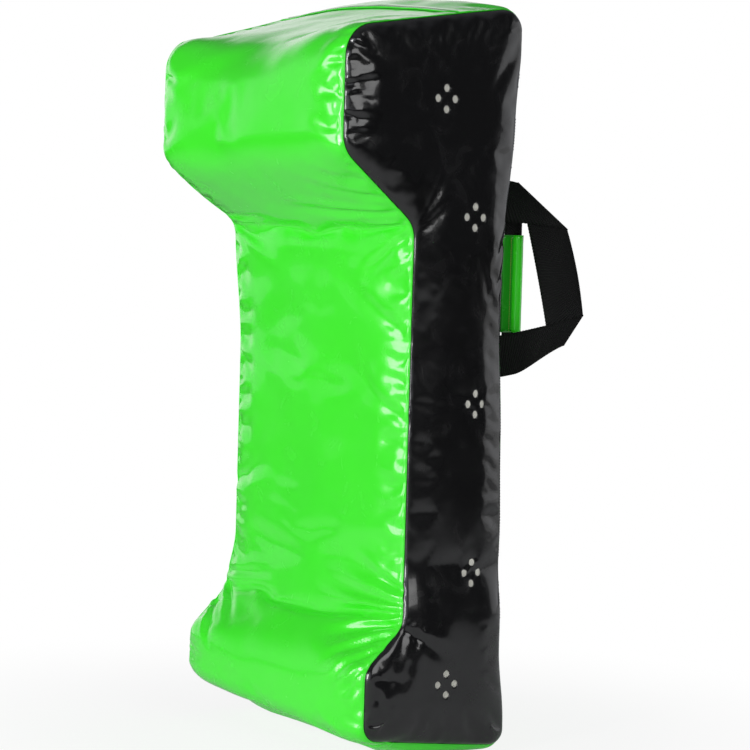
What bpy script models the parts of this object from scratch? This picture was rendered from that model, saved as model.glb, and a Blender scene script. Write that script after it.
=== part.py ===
"""Tackle wedge: a foam pad for rugby tackling practice in a sewn cover of coated fabric.

Metres, +Z up. The pad stands on its base with its front facing -Y. Its origin
is on the base's flat patch, under the pad's centre of mass. A deep head and a shallower foot
stand out in front of a thin waist, and the back is flat. Two black side panels
with punched vents close a green wrap, and folded webbing straps and sleeved
hand grips stand off the back, one pair at each side.
"""

import math

import bmesh
import bpy
from mathutils import Vector
from mathutils.geometry import delaunay_2d_cdt

# Side seams: the outline that both side panels are cut to, in the YZ plane
SEAM_WIDTH = 0.389
BACK_Y = 0.090
HEAD_DEPTH = 0.252
WAIST_DEPTH = 0.147
FOOT_DEPTH = 0.1995
TOP_BACK_Z = 0.904
TOP_SLOPE_DROP = 0.039
HEAD_HEIGHT = 0.142
UNDERSIDE_DROP = 0.085
FOOT_SLOPE_RISE = 0.049
FOOT_HIGH_Z = 0.115
BASE_FRONT_Z = 0.031
BASE_BACK_Z = 0.009
TOP_FRONT_Z = TOP_BACK_Z - TOP_SLOPE_DROP
HEAD_LOW_Z = TOP_FRONT_Z - HEAD_HEIGHT
WAIST_TOP_Z = HEAD_LOW_Z - UNDERSIDE_DROP
WAIST_LOW_Z = FOOT_HIGH_Z + FOOT_SLOPE_RISE

# Corner radii of that outline
TOP_FRONT_R = 0.033
HEAD_LOW_R = 0.038
WAIST_TOP_R = 0.033
WAIST_LOW_R = 0.024
FOOT_HIGH_R = 0.028
BASE_FRONT_R = 0.021
BASE_BACK_R = 0.019
TOP_BACK_R = 0.026
LEAST_RADIUS = 0.002
ARC_STEP = math.radians(17)

# The base's toe: its middle leaves the floor there and rises to the front
TOE_LENGTH = 0.0765
TOE_LIFT = 0.029

# How far the stuffed cover stands proud of its seams
TOP_CROWN = 0.015
HEAD_CROWN = 0.012
UNDERSIDE_CROWN = 0.009
WAIST_CROWN = 0.010
SLOPE_CROWN = 0.008
FOOT_CROWN = 0.011
BACK_CROWN = 0.009
SIDE_CROWN = 0.012
WRAP_ROLL = 0.055
PANEL_ROLL = 0.037
PANEL_RINGS = (0.0, 0.08, 0.3, 0.62, 1.0)
WRAP_COLUMNS = (0.0, 0.07, 0.27, 0.6, 1.0)

# Sheets and clearances
COVER_T = 0.0010
MESH_T = 0.0006
GAP = 0.0003
MITRE_GAP = GAP * math.sqrt(2)
CORE_LEVEL = COVER_T + GAP + MESH_T + GAP

# Seams of the wrap between its three panels
LAP_FROM_BACK = 0.0855
LAP_OVER = 0.012
LAP_RAMP = 0.006
BASE_SEAM_FROM_FRONT = 0.034
BACK_SEAM_Z = 0.048

# Vents: distance of each group from the back seam, and its height
VENTS = (
    (0.1135, TOP_FRONT_Z - 0.077),
    (0.0660, WAIST_TOP_Z + 0.012),
    (0.0555, WAIST_TOP_Z - 0.211),
    (0.0540, WAIST_LOW_Z + 0.060),
    (0.0885, FOOT_HIGH_Z - 0.022),
)
VENT_HOLE_R = 0.0049
VENT_SPREAD = 0.0125
VENT_SIDES = 10
MESH_HALF = 0.019
MESH_MARGIN = 0.0005

# Arm straps: folded webbing, its folds given in the plane of the loop as
# (distance from the hinge, height)
STRAP_WEBBING = 0.050
STRAP_T = 0.0016
STRAP_FROM_SEAM = 0.0475
STRAP_FROM_MIDDLE = SEAM_WIDTH / 2 - STRAP_FROM_SEAM
STRAP_UPPER_Z = WAIST_TOP_Z + 0.034
STRAP_HEIGHT = 0.190
STRAP_LOWER_Z = STRAP_UPPER_Z - STRAP_HEIGHT
STRAP_UPPER_FOLD = (0.055, STRAP_UPPER_Z - 0.008)
STRAP_LOWER_FOLD = (0.093, STRAP_LOWER_Z + 0.023)
STRAP_SPLAY = math.radians(28)
ROOT_ROUNDING = 0.96

# Hand grips: narrower webbing inside the arm strap, with a sewn sleeve
GRIP_WEBBING = 0.025
GRIP_T = 0.0016
GRIP_INSIDE_STRAP = 0.008
GRIP_REACH = 0.033
GRIP_SPLAY = math.radians(5)
SLEEVE_LENGTH = 0.120
SLEEVE_ROUND_R = 0.0075
SLEEVE_FLAP_T = 0.0046
SLEEVE_FLAP = 0.0215
SLEEVE_ROUND_INSET = 0.006

# Sewn patches under the webbing
PATCH_WIDTH = 0.052
PATCH_HEIGHT = 0.066
PATCH_T = 0.0012
PATCH_CORNER = 0.006
PATCH_BEYOND = 0.016

# Back zip, closed with its slider at the bottom
ZIP_LOW_Z = 0.130
ZIP_LENGTH = 0.600
ZIP_SLOT = 0.0100
TAPE_WIDTH = 0.014
TAPE_T = 0.0006
TAPE_BEYOND = 0.014
TAPE_SPLIT = 0.0008
CHAIN_WIDTH = 0.0056
CHAIN_T = 0.0022
STOP_LENGTH = 0.003
STOP_T = 0.0014
SLIDER_LENGTH = 0.013
SLIDER_PLATE_T = 0.0012
SLIDER_SKIRT = 0.0014
BAIL_WIDTH = 0.0022
BAIL_LENGTH = 0.0090
BAIL_POST = 0.0014
BAIL_TUNNEL = 0.0022
BAIL_T = 0.0012
PULL_LENGTH = 0.026
PULL_WIDTH = 0.0072
PULL_T = 0.0014
PULL_EYE = 0.0026
PULL_PLAY = 0.0003

HALF_WIDTH = SEAM_WIDTH / 2
NEAREST_VENT = min(from_back for from_back, _ in VENTS)
PANEL_FLAT_FROM = min(PANEL_ROLL, NEAREST_VENT - MESH_HALF - MESH_MARGIN)
BACK_FACE_Y = BACK_Y + BACK_CROWN
PATCH_FACE_Y = BACK_FACE_Y + GAP + PATCH_T
FLOOR = "floor"


def right_of(direction):
    """The unit normal on the right of a direction, which faces out of the outline."""
    return Vector((direction.y, -direction.x))


def edge_list():
    """The outline's corners in order, each with its radius, the crown of the edge after it,
    and the marks on that edge: where the wrap's panels end and where the zip slot ends."""
    front_head = BACK_Y - HEAD_DEPTH
    front_waist = BACK_Y - WAIST_DEPTH
    front_foot = BACK_Y - FOOT_DEPTH
    top_back = Vector((BACK_Y, TOP_BACK_Z))
    top_front = Vector((front_head, TOP_FRONT_Z))
    base_front = Vector((front_foot, BASE_FRONT_Z))
    base_back = Vector((BACK_Y, BASE_BACK_Z))

    def on_top(from_back):
        return top_back.lerp(top_front, from_back / HEAD_DEPTH)

    def on_base(from_front):
        return base_front.lerp(base_back, from_front / FOOT_DEPTH)

    def on_back(z):
        return Vector((BACK_Y, z))

    top_marks = {
        "lap_ramp": on_top(LAP_FROM_BACK - LAP_OVER - LAP_RAMP),
        "lap_under": on_top(LAP_FROM_BACK - LAP_OVER),
        "lap_edge": on_top(LAP_FROM_BACK),
    }
    base_marks = {
        "front_end": on_base(BASE_SEAM_FROM_FRONT),
        "base_start": on_base(BASE_SEAM_FROM_FRONT + GAP),
        "toe_end": on_base(TOE_LENGTH),
    }
    back_marks = {
        "base_end": on_back(BACK_SEAM_Z),
        "back_start": on_back(BACK_SEAM_Z + GAP),
        "slot_low": on_back(ZIP_LOW_Z),
        "slot_high": on_back(ZIP_LOW_Z + ZIP_LENGTH),
    }
    return [
        (top_back, TOP_BACK_R, TOP_CROWN, top_marks),
        (top_front, TOP_FRONT_R, HEAD_CROWN, {}),
        (Vector((front_head, HEAD_LOW_Z)), HEAD_LOW_R, UNDERSIDE_CROWN, {}),
        (Vector((front_waist, WAIST_TOP_Z)), WAIST_TOP_R, WAIST_CROWN, {}),
        (Vector((front_waist, WAIST_LOW_Z)), WAIST_LOW_R, SLOPE_CROWN, {}),
        (Vector((front_foot, FOOT_HIGH_Z)), FOOT_HIGH_R, FOOT_CROWN, {}),
        (base_front, BASE_FRONT_R, FLOOR, base_marks),
        (base_back, BASE_BACK_R, BACK_CROWN, back_marks),
    ]


EDGES = edge_list()


def down_to_base(point, normal):
    """How far a point of the outline lies from the base's middle, which is flat on the floor
    up to its lifted toe."""
    behind_front = point.x - (BACK_Y - FOOT_DEPTH)
    lifted = 1 - min(max(behind_front / TOE_LENGTH, 0.0), 1.0)
    return (point.y - TOE_LIFT * lifted) / -normal.y


def crown_on(point, normal, crown):
    """The crown of a straight edge at a point; the base's crown reaches down to the floor."""
    return down_to_base(point, normal) if crown == FLOOR else crown


def corner_arc(number, inset):
    """The rounded corner's rows of (point, outward normal, crown), drawn in by inset."""
    corner, radius, crown_after, _ = EDGES[number]
    before, _, crown_before, _ = EDGES[number - 1]
    after = EDGES[(number + 1) % len(EDGES)][0]
    way_in = (corner - before).normalized()
    way_out = (after - corner).normalized()
    normal_in = right_of(way_in)
    normal_out = right_of(way_out)
    turn = math.atan2(way_in.x * way_out.y - way_in.y * way_out.x, way_in.dot(way_out))
    bend = math.copysign(1, turn)
    mitre = (normal_in + normal_out) / (1 + normal_in.dot(normal_out))
    arc_radius = max(radius - bend * inset, LEAST_RADIUS)
    centre = corner - mitre * (inset + arc_radius * bend)
    reach = radius * math.tan(abs(turn) / 2)
    start_crown = crown_on(corner - way_in * reach, normal_in, crown_before)
    end_crown = crown_on(corner + way_out * reach, normal_out, crown_after)
    start_angle = math.atan2(normal_in.y, normal_in.x)
    steps = max(2, math.ceil(abs(turn) / ARC_STEP))
    rows = []
    for step in range(steps + 1):
        share = step / steps
        angle = start_angle + turn * share
        normal = Vector((math.cos(angle), math.sin(angle)))
        point = centre + normal * arc_radius * bend
        ease = share * share * (3 - 2 * share)
        crown = start_crown + (end_crown - start_crown) * ease
        if normal.y < 0 and inset == 0:
            crown = min(crown, down_to_base(point, normal))
        rows.append((point, normal, crown))
    return rows


def seam_outline(inset=0.0):
    """The seam outline drawn in by inset, as (point, outward normal, crown, mark) rows. Every
    inset gives the same number of rows, so that two outlines match row by row: a mark keeps
    its share of the straight stretch between two corners."""
    rows = []
    for number, (_, _, crown_after, marks) in enumerate(EDGES):
        arc = corner_arc(number, inset)
        rows += [(point, normal, crown, "") for point, normal, crown in arc]
        start = arc[-1][0]
        end = corner_arc((number + 1) % len(EDGES), inset)[0][0]
        full_start = corner_arc(number, 0)[-1][0]
        full_end = corner_arc((number + 1) % len(EDGES), 0)[0][0]
        normal = right_of((end - start).normalized())
        for name, place in marks.items():
            share = (place - full_start).length / (full_end - full_start).length
            point = start.lerp(end, share)
            rows.append((point, normal, crown_on(point, normal, crown_after), name))
    return rows


SEAM = seam_outline()


def first_row(name):
    return next(i for i, row in enumerate(SEAM) if row[3] == name)


def rows_between(start, end):
    """Row numbers of the outline from one named place to another, in the outline's order."""
    i, last = first_row(start), first_row(end)
    found = [i]
    while i != last:
        i = (i + 1) % len(SEAM)
        found.append(i)
    return found


def rolled(share):
    """A quarter round: 0 at a seam, 1 at the end of the roll and beyond it."""
    left = 1 - min(share, 1.0)
    return math.sqrt(1 - left * left)


def wrap_point(row, x, level, half_width=HALF_WIDTH):
    """A point of the wrap at depth level under its outer face, in one row of the outline."""
    point, normal, crown, _ = SEAM[row]
    margin = half_width - abs(x)
    out = point + normal * (crown * rolled(margin / WRAP_ROLL) - level)
    return Vector((x * (half_width - level) / half_width, out.x, out.y))


def panel_ring(side, inset, level):
    """A ring of a side panel: side is 1 on the right and -1 on the left."""
    x = HALF_WIDTH + SIDE_CROWN * rolled(inset / PANEL_FLAT_FROM) - level
    return [Vector((side * x, row[0].x, row[0].y)) for row in seam_outline(inset + level)]


def wrap_columns(half_width, extra=()):
    """X positions across the wrap, close together where it rolls down to its seams."""
    right = [half_width - WRAP_ROLL * share for share in WRAP_COLUMNS]
    inner = sorted(set(extra) | {0.0} if not extra else set(extra))
    return [-x for x in right] + inner + right[::-1]


def principled(name, colour, roughness, metallic=0.0):
    material = bpy.data.materials.new(name)
    material.use_nodes = True
    shader = material.node_tree.nodes["Principled BSDF"]
    shader.inputs["Base Color"].default_value = (*colour, 1.0)
    shader.inputs["Roughness"].default_value = roughness
    shader.inputs["Metallic"].default_value = metallic
    material.diffuse_color = (*colour, 1.0)
    return material


def add_object(name, bm, material, location=(0, 0, 0), turn=0.0):
    """One named object from a bmesh, its faces made to point out."""
    bmesh.ops.recalc_face_normals(bm, faces=bm.faces)
    mesh = bpy.data.meshes.new(name)
    bm.to_mesh(mesh)
    bm.free()
    mesh.materials.append(material)
    obj = bpy.data.objects.new(name, mesh)
    obj.location = location
    obj.rotation_euler = (0, 0, turn)
    bpy.context.scene.collection.objects.link(obj)
    return obj


def smooth(obj, angle=40):
    obj.data.shade_smooth()
    obj.data.set_sharp_from_angle(angle=math.radians(angle))


def sheet_bmesh(outer, inner, faces):
    """A sheet's outer and inner face, joined along each open edge of its face list."""
    bm = bmesh.new()
    top = [bm.verts.new(p) for p in outer]
    bottom = [bm.verts.new(p) for p in inner]
    edges = {}
    for face in faces:
        bm.faces.new([top[i] for i in face])
        bm.faces.new([bottom[i] for i in reversed(face)])
        for a, b in zip(face, face[1:] + face[:1]):
            edges[(a, b)] = edges.get((a, b), 0) + 1
    for a, b in edges:
        if (b, a) not in edges:
            bm.faces.new([top[b], top[a], bottom[a], bottom[b]])
    loose = [v for v in bm.verts if not v.link_faces]
    bmesh.ops.delete(bm, geom=loose, context="VERTS")
    return bm


def split_quad(a, b, c, d):
    """Two triangles on one diagonal, so that a cover and the foam under it bend alike."""
    return [[a, b, c], [a, c, d]]


def grid_faces(rows, columns, leave_out=lambda row, column: False):
    faces = []
    for r in range(rows - 1):
        for c in range(columns - 1):
            if not leave_out(r, c):
                a = r * columns + c
                faces += split_quad(a, a + 1, a + columns + 1, a + columns)
    return faces


def front_cover(material):
    half = HALF_WIDTH - MITRE_GAP
    columns = wrap_columns(half)
    rows = rows_between("lap_under", "front_end")
    outer = [wrap_point(r, x, 0, half) for r in rows for x in columns]
    inner = [wrap_point(r, x, COVER_T, half) for r in rows for x in columns]
    bm = sheet_bmesh(outer, inner, grid_faces(len(rows), len(columns)))
    smooth(add_object("front_cover", bm, material))


def base_cover(material):
    half = HALF_WIDTH - MITRE_GAP
    columns = wrap_columns(half)
    rows = rows_between("base_start", "base_end")
    outer = [wrap_point(r, x, 0, half) for r in rows for x in columns]
    inner = [wrap_point(r, x, COVER_T, half) for r in rows for x in columns]
    bm = sheet_bmesh(outer, inner, grid_faces(len(rows), len(columns)))
    smooth(add_object("base_cover", bm, material))


def back_cover(material):
    """The back's panel, slotted for the zip, whose top end laps over the front cover."""
    half = HALF_WIDTH - MITRE_GAP
    columns = wrap_columns(half, (-ZIP_SLOT / 2, ZIP_SLOT / 2))
    rows = rows_between("back_start", "lap_edge")
    names = [SEAM[r][3] for r in rows]
    lifted = {"lap_under": -COVER_T - GAP, "lap_edge": -COVER_T - GAP}
    levels = [lifted.get(name, 0.0) for name in names]
    outer = [wrap_point(r, x, level, half) for r, level in zip(rows, levels) for x in columns]
    inner = [
        wrap_point(r, x, level + COVER_T, half) for r, level in zip(rows, levels) for x in columns
    ]
    slot_rows = range(names.index("slot_low"), names.index("slot_high"))
    slot_column = columns.index(-ZIP_SLOT / 2)
    faces = grid_faces(
        len(rows), len(columns), lambda row, column: row in slot_rows and column == slot_column
    )
    smooth(add_object("back_cover", sheet_bmesh(outer, inner, faces), material))


def vent_holes(y, z):
    """The four hole outlines of one vent group, in a diamond."""
    for across, up in ((0, 1), (1, 0), (0, -1), (-1, 0)):
        centre = Vector((y + across * VENT_SPREAD, z + up * VENT_SPREAD))
        turns = [math.tau * k / VENT_SIDES for k in range(VENT_SIDES)]
        yield centre, [centre + VENT_HOLE_R * Vector((math.cos(a), math.sin(a))) for a in turns]


def side_panel(name, side, material):
    """A crowned side panel with its punched vent holes."""
    outer, inner, faces = [], [], []
    count = len(SEAM)
    for share in PANEL_RINGS:
        inset = share * PANEL_FLAT_FROM
        outer += panel_ring(side, inset, 0)
        inner += panel_ring(side, inset, COVER_T)
    for ring in range(len(PANEL_RINGS) - 1):
        for r in range(count):
            a = ring * count + r
            b = ring * count + (r + 1) % count
            faces += split_quad(a, b, b + count, a + count)

    last = len(PANEL_RINGS) - 1
    holes = [hole for dy, z in VENTS for hole in vent_holes(BACK_Y - dy, z)]
    points = [Vector((p.y, p.z)) for p in outer[last * count :]]
    loops = [list(range(count))]
    for _, rim in holes:
        loops.append(list(range(len(points), len(points) + len(rim))))
        points += rim
    flat, _, triangles, origins, _, _ = delaunay_2d_cdt(points, [], loops, 1, 1e-7)
    numbers = []
    for i, point in enumerate(flat):
        if origins[i] and origins[i][0] < count:
            numbers.append(last * count + origins[i][0])
            continue
        numbers.append(len(outer))
        outer.append(Vector((side * (HALF_WIDTH + SIDE_CROWN), point.x, point.y)))
        inner.append(Vector((side * (HALF_WIDTH + SIDE_CROWN - COVER_T), point.x, point.y)))
    for triangle in triangles:
        middle = sum((flat[i] for i in triangle), Vector((0, 0))) / 3
        if all((middle - centre).length > VENT_HOLE_R * 0.9 for centre, _ in holes):
            faces.append([numbers[i] for i in triangle])
    smooth(add_object(name, sheet_bmesh(outer, inner, same_way(outer, faces)), material))


def same_way(points, faces):
    """The faces turned to face alike along X, so that their shared edges run opposite ways."""
    turned = []
    for face in faces:
        area = 0.0
        for i, j in zip(face, face[1:] + face[:1]):
            area += points[i].y * points[j].z - points[j].y * points[i].z
        turned.append(face if area > 0 else face[::-1])
    return turned


def core_bmesh():
    """The whole foam core as one closed body, a sheet's depth inside the cover."""
    bm = bmesh.new()
    columns = wrap_columns(HALF_WIDTH)
    count = len(SEAM)
    grid = [
        [bm.verts.new(wrap_point(r, x, CORE_LEVEL)) for x in columns] for r in range(count)
    ]
    for r in range(count):
        row, after = grid[r], grid[(r + 1) % count]
        for c in range(len(columns) - 1):
            for triangle in split_quad(row[c], row[c + 1], after[c + 1], after[c]):
                bm.faces.new(triangle)
    for side, column in ((-1, 0), (1, -1)):
        ring = [grid[r][column] for r in range(count)]
        for share in PANEL_RINGS[1:]:
            inset = share * PANEL_FLAT_FROM
            inner = [bm.verts.new(point) for point in panel_ring(side, inset, CORE_LEVEL)]
            for r in range(count):
                after = (r + 1) % count
                for triangle in split_quad(ring[r], ring[after], inner[after], inner[r]):
                    bm.faces.new(triangle)
            ring = inner
        bm.faces.new(ring)
    bmesh.ops.recalc_face_normals(bm, faces=bm.faces)
    return bm


def foam_block(name, material, cuts):
    """One glued block of the core: what is left on the inner side of each (point, normal)."""
    bm = core_bmesh()
    for point, normal in cuts:
        parts = bm.verts[:] + bm.edges[:] + bm.faces[:]
        cut = bmesh.ops.bisect_plane(
            bm, geom=parts, plane_co=point, plane_no=normal, clear_outer=True, dist=1e-6
        )
        edges = [e for e in cut["geom_cut"] if isinstance(e, bmesh.types.BMEdge)]
        bmesh.ops.edgenet_fill(bm, edges=edges)
    smooth(add_object(name, bm, material))


def foam_core(material):
    """A full-height spine, with a head and a foot block glued to its front."""
    joint_y = BACK_Y - WAIST_DEPTH - WAIST_CROWN
    middle_z = (WAIST_TOP_Z + WAIST_LOW_Z) / 2
    back = Vector((0, 1, 0))
    up = Vector((0, 0, 1))
    middle = Vector((0, joint_y, middle_z))
    foam_block("foam_spine", material, [(middle - back * GAP / 2, -back)])
    foam_block("foam_head", material, [(middle - back * GAP * 1.5, back), (middle, -up)])
    foam_block("foam_foot", material, [(middle - back * GAP * 1.5, back), (middle, up)])


def slab(bm, low, high):
    """A box between two corners, added to a bmesh."""
    sizes = [b - a for a, b in zip(low, high)]
    made = bmesh.ops.create_cube(bm, size=1)
    for vert in made["verts"]:
        vert.co = Vector([a + (v + 0.5) * s for a, v, s in zip(low, vert.co, sizes)])


def box_object(name, low, high, material, location=(0, 0, 0), turn=0.0):
    bm = bmesh.new()
    slab(bm, low, high)
    return add_object(name, bm, material, location, turn)


def prism_object(name, outline, low, high, material, location=(0, 0, 0), turn=0.0):
    """An outline of (Y, Z) points extruded along the object's own X from low to high."""
    bm = bmesh.new()
    near = [bm.verts.new((low, y, z)) for y, z in outline]
    far = [bm.verts.new((high, y, z)) for y, z in outline]
    bm.faces.new(near)
    bm.faces.new(far[::-1])
    for i in range(len(outline)):
        j = (i + 1) % len(outline)
        bm.faces.new([near[j], near[i], far[i], far[j]])
    return add_object(name, bm, material, location, turn)


def combine(target, tools, operation):
    """Booleans the tools onto the target and keeps only the result."""
    for tool in tools:
        modifier = target.modifiers.new(operation.lower(), "BOOLEAN")
        modifier.operation = operation
        modifier.object = tool
    bpy.context.view_layer.update()
    shape = target.evaluated_get(bpy.context.evaluated_depsgraph_get())
    mesh = bpy.data.meshes.new_from_object(shape)
    target.modifiers.clear()
    target.data = mesh
    for tool in tools:
        bpy.data.objects.remove(tool)
    return target


def vent_meshes(material):
    """A patch of mesh behind each group of vent holes."""
    for side, word in ((1, "right"), (-1, "left")):
        outer = HALF_WIDTH + SIDE_CROWN - COVER_T - GAP
        faces_x = sorted((side * outer, side * (outer - MESH_T)))
        for number, (from_back, z) in enumerate(VENTS, 1):
            y = BACK_Y - from_back
            low = (faces_x[0], y - MESH_HALF, z - MESH_HALF)
            high = (faces_x[1], y + MESH_HALF, z + MESH_HALF)
            box_object(f"vent_mesh_{word}_{number}", low, high, material)


def folded_band(width, root_high, upper_fold, lower_fold, root_low):
    """Three flat stretches of one webbing strip that folds over at two corners. Each fold
    line lies along the sum of the directions on its two sides."""
    places = [Vector(p) for p in (root_high, upper_fold, lower_fold, root_low)]
    ways = [(b - a).normalized() for a, b in zip(places, places[1:])]
    ends = []
    for i in (1, 2):
        fold = (ways[i - 1] + ways[i]).normalized()
        across = abs(ways[i].x * fold.y - ways[i].y * fold.x)
        half = fold * (width / 2 / across)
        ends.append((places[i] - half, places[i] + half))
    roots = []
    for place, way in ((places[0], ways[0]), (places[3], ways[2])):
        half_height = width / 2 / abs(way.x)
        roots.append((place - Vector((0, half_height)), place + Vector((0, half_height))))
    (high_near, high_far), (low_far, low_near) = ends
    upper = [roots[0][0], high_far, high_near, roots[0][1]]
    middle = [high_near, high_far, low_far, low_near]
    lower = [roots[1][0], low_near, low_far, roots[1][1]]
    return upper, middle, lower


def leg_object(name, outline, side, thickness, hinge, turn, material):
    """A leg of the webbing, centred on the hinge plane, with its root rounded about the
    hinge's axis."""
    half = thickness / 2
    rooted = [(-half if i in (0, 3) else p.x, p.y) for i, p in enumerate(outline)]
    leg = prism_object(name, rooted, -half, half, material, hinge, turn)
    bm = bmesh.new()
    bm.from_mesh(leg.data)
    root = [e for e in bm.edges if all(v.co.y < -half * 0.9 for v in e.verts)]
    along = [e for e in root if abs(e.verts[0].co.z - e.verts[1].co.z) > thickness * 2]
    bmesh.ops.bevel(bm, geom=along, offset=half * ROOT_ROUNDING, segments=3, affect="EDGES")
    bmesh.ops.recalc_face_normals(bm, faces=bm.faces)
    bm.to_mesh(leg.data)
    bm.free()
    return leg


def band_object(name, side, stretches, thickness, hinge, splay, material):
    """Folded webbing: its two legs lie over its middle stretch, on the outer side."""
    turn = -side * splay
    upper, middle, lower = stretches
    under = sorted((-side * thickness * 1.5, -side * (thickness / 2 - GAP)))
    band = prism_object(name, [tuple(p) for p in middle], *under, material, hinge, turn)
    legs = [
        leg_object(f"{name}_leg", outline, side, thickness, hinge, turn, material)
        for outline in (upper, lower)
    ]
    return combine(band, legs, "UNION")


def sleeve_outline():
    """Cross-section of the grip sleeve: a round roll with a flat sewn flap towards the back,
    as (thickness, distance from the hinge) points."""
    outer_edge = GRIP_REACH + GRIP_WEBBING / 2
    centre = outer_edge - SLEEVE_ROUND_INSET
    flap_end = centre - SLEEVE_FLAP
    half_flap = SLEEVE_FLAP_T / 2
    open_angle = math.asin(half_flap / SLEEVE_ROUND_R)
    arc_steps = 12
    points = [(half_flap, flap_end)]
    for step in range(arc_steps + 1):
        angle = -math.pi / 2 + open_angle + (math.tau - 2 * open_angle) * step / arc_steps
        across = SLEEVE_ROUND_R * math.cos(angle)
        points.append((across, centre + SLEEVE_ROUND_R * math.sin(angle)))
    points.append((-half_flap, flap_end))
    return points


def grip_sleeve(name, side, hinge, material):
    turn = -side * GRIP_SPLAY
    middle_z = (STRAP_UPPER_Z + STRAP_LOWER_Z) / 2 - 0.0065
    low_z = middle_z - SLEEVE_LENGTH / 2
    bm = bmesh.new()
    outline = [(side * (x - GRIP_T), y) for x, y in sleeve_outline()]
    bottom = [bm.verts.new((x, y, low_z)) for x, y in outline]
    top = [bm.verts.new((x, y, low_z + SLEEVE_LENGTH)) for x, y in outline]
    bm.faces.new(bottom)
    bm.faces.new(top[::-1])
    for i in range(len(outline)):
        j = (i + 1) % len(outline)
        bm.faces.new([bottom[j], bottom[i], top[i], top[j]])
    sleeve = add_object(name, bm, material, hinge, turn)
    near, far = sorted((-side * (GRIP_T / 2 - 2 * GAP), -side * (GRIP_T * 1.5 + GAP)))
    half = GRIP_WEBBING / 2 + GAP
    slot = box_object(
        name + "_slot",
        (near, GRIP_REACH - half, low_z - SLEEVE_LENGTH / 10),
        (far, GRIP_REACH + half, low_z + SLEEVE_LENGTH * 1.1),
        material,
        hinge,
        turn,
    )
    combine(sleeve, [slot], "DIFFERENCE")
    smooth(sleeve)


def handles(webbing, green, black):
    """Patches, arm straps and hand grips: one set at each side of the back."""
    for side, word in ((1, "right"), (-1, "left")):
        strap_x = side * STRAP_FROM_MIDDLE
        grip_x = side * (STRAP_FROM_MIDDLE - GRIP_INSIDE_STRAP)
        for z, place in ((STRAP_UPPER_Z, "upper"), (STRAP_LOWER_Z, "lower")):
            handle_patch(f"handle_patch_{word}_{place}", side, z, black)

        strap = folded_band(
            STRAP_WEBBING, (0, STRAP_UPPER_Z), STRAP_UPPER_FOLD, STRAP_LOWER_FOLD, (0, STRAP_LOWER_Z)
        )
        hinge = (strap_x, PATCH_FACE_Y + GAP + STRAP_T / 2, 0)
        band_object(f"arm_strap_{word}", side, strap, STRAP_T, hinge, STRAP_SPLAY, webbing)

        grip = folded_band(
            GRIP_WEBBING,
            (0, STRAP_UPPER_Z),
            (GRIP_REACH, STRAP_UPPER_Z),
            (GRIP_REACH, STRAP_LOWER_Z),
            (0, STRAP_LOWER_Z),
        )
        hinge = (grip_x, PATCH_FACE_Y + GAP + GRIP_T / 2, 0)
        band_object(f"grip_webbing_{word}", side, grip, GRIP_T, hinge, GRIP_SPLAY, webbing)
        grip_sleeve(f"grip_sleeve_{word}", side, hinge, green)


def handle_patch(name, side, z, material):
    """A rectangle with clipped corners, sewn on the back under the webbing's end."""
    outer_x = STRAP_FROM_MIDDLE + PATCH_BEYOND
    inner_x = outer_x - PATCH_WIDTH
    half_z = PATCH_HEIGHT / 2
    clip = PATCH_CORNER
    corners = (
        (inner_x + clip, -half_z),
        (outer_x - clip, -half_z),
        (outer_x, clip - half_z),
        (outer_x, half_z - clip),
        (outer_x - clip, half_z),
        (inner_x + clip, half_z),
        (inner_x, half_z - clip),
        (inner_x, clip - half_z),
    )
    bm = bmesh.new()
    low_y = BACK_FACE_Y + GAP
    near = [bm.verts.new((side * x, low_y, z + dz)) for x, dz in corners]
    far = [bm.verts.new((side * x, low_y + PATCH_T, z + dz)) for x, dz in corners]
    bm.faces.new(near)
    bm.faces.new(far[::-1])
    for i in range(len(corners)):
        j = (i + 1) % len(corners)
        bm.faces.new([near[j], near[i], far[i], far[j]])
    add_object(name, bm, material)


def zip_parts(fabric, plastic, metal):
    """The back zip: two tapes, its closed chain, two stops, the slider and its pull."""
    high_z = ZIP_LOW_Z + ZIP_LENGTH
    tape_y = BACK_FACE_Y - COVER_T - GAP
    tape_inner = tape_y - TAPE_T
    for side, word in ((1, "right"), (-1, "left")):
        xs = sorted((side * TAPE_SPLIT / 2, side * (TAPE_SPLIT / 2 + TAPE_WIDTH)))
        low = (xs[0], tape_inner, ZIP_LOW_Z - TAPE_BEYOND)
        high = (xs[1], tape_y, high_z + TAPE_BEYOND)
        box_object(f"zip_tape_{word}", low, high, fabric)

    chain_low = tape_y + GAP
    chain_high = chain_low + CHAIN_T
    stop_low = ZIP_LOW_Z + GAP
    stop_high = high_z - GAP
    half = CHAIN_WIDTH / 2
    chain = box_object(
        "zip_chain",
        (-half, chain_low, stop_low + STOP_LENGTH + GAP),
        (half, chain_high, stop_high - STOP_LENGTH - GAP),
        plastic,
    )
    chain.modifiers.new("edges", "BEVEL").width = CHAIN_T / 4
    for name, z in (("zip_bottom_stop", stop_low), ("zip_top_stop", stop_high - STOP_LENGTH)):
        half_stop = half + SLIDER_SKIRT
        high = (half_stop, chain_high + STOP_T, z + STOP_LENGTH)
        box_object(name, (-half_stop, chain_low, z), high, metal)

    slider_z = stop_low + STOP_LENGTH + GAP
    plate_low = chain_high + GAP
    plate_high = plate_low + SLIDER_PLATE_T
    half_slider = half + GAP + SLIDER_SKIRT
    zip_slider(slider_z, chain_low, plate_low, plate_high, half_slider, metal)
    zip_pull(slider_z + SLIDER_LENGTH / 2, plate_high + BAIL_TUNNEL / 2, metal)


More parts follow.
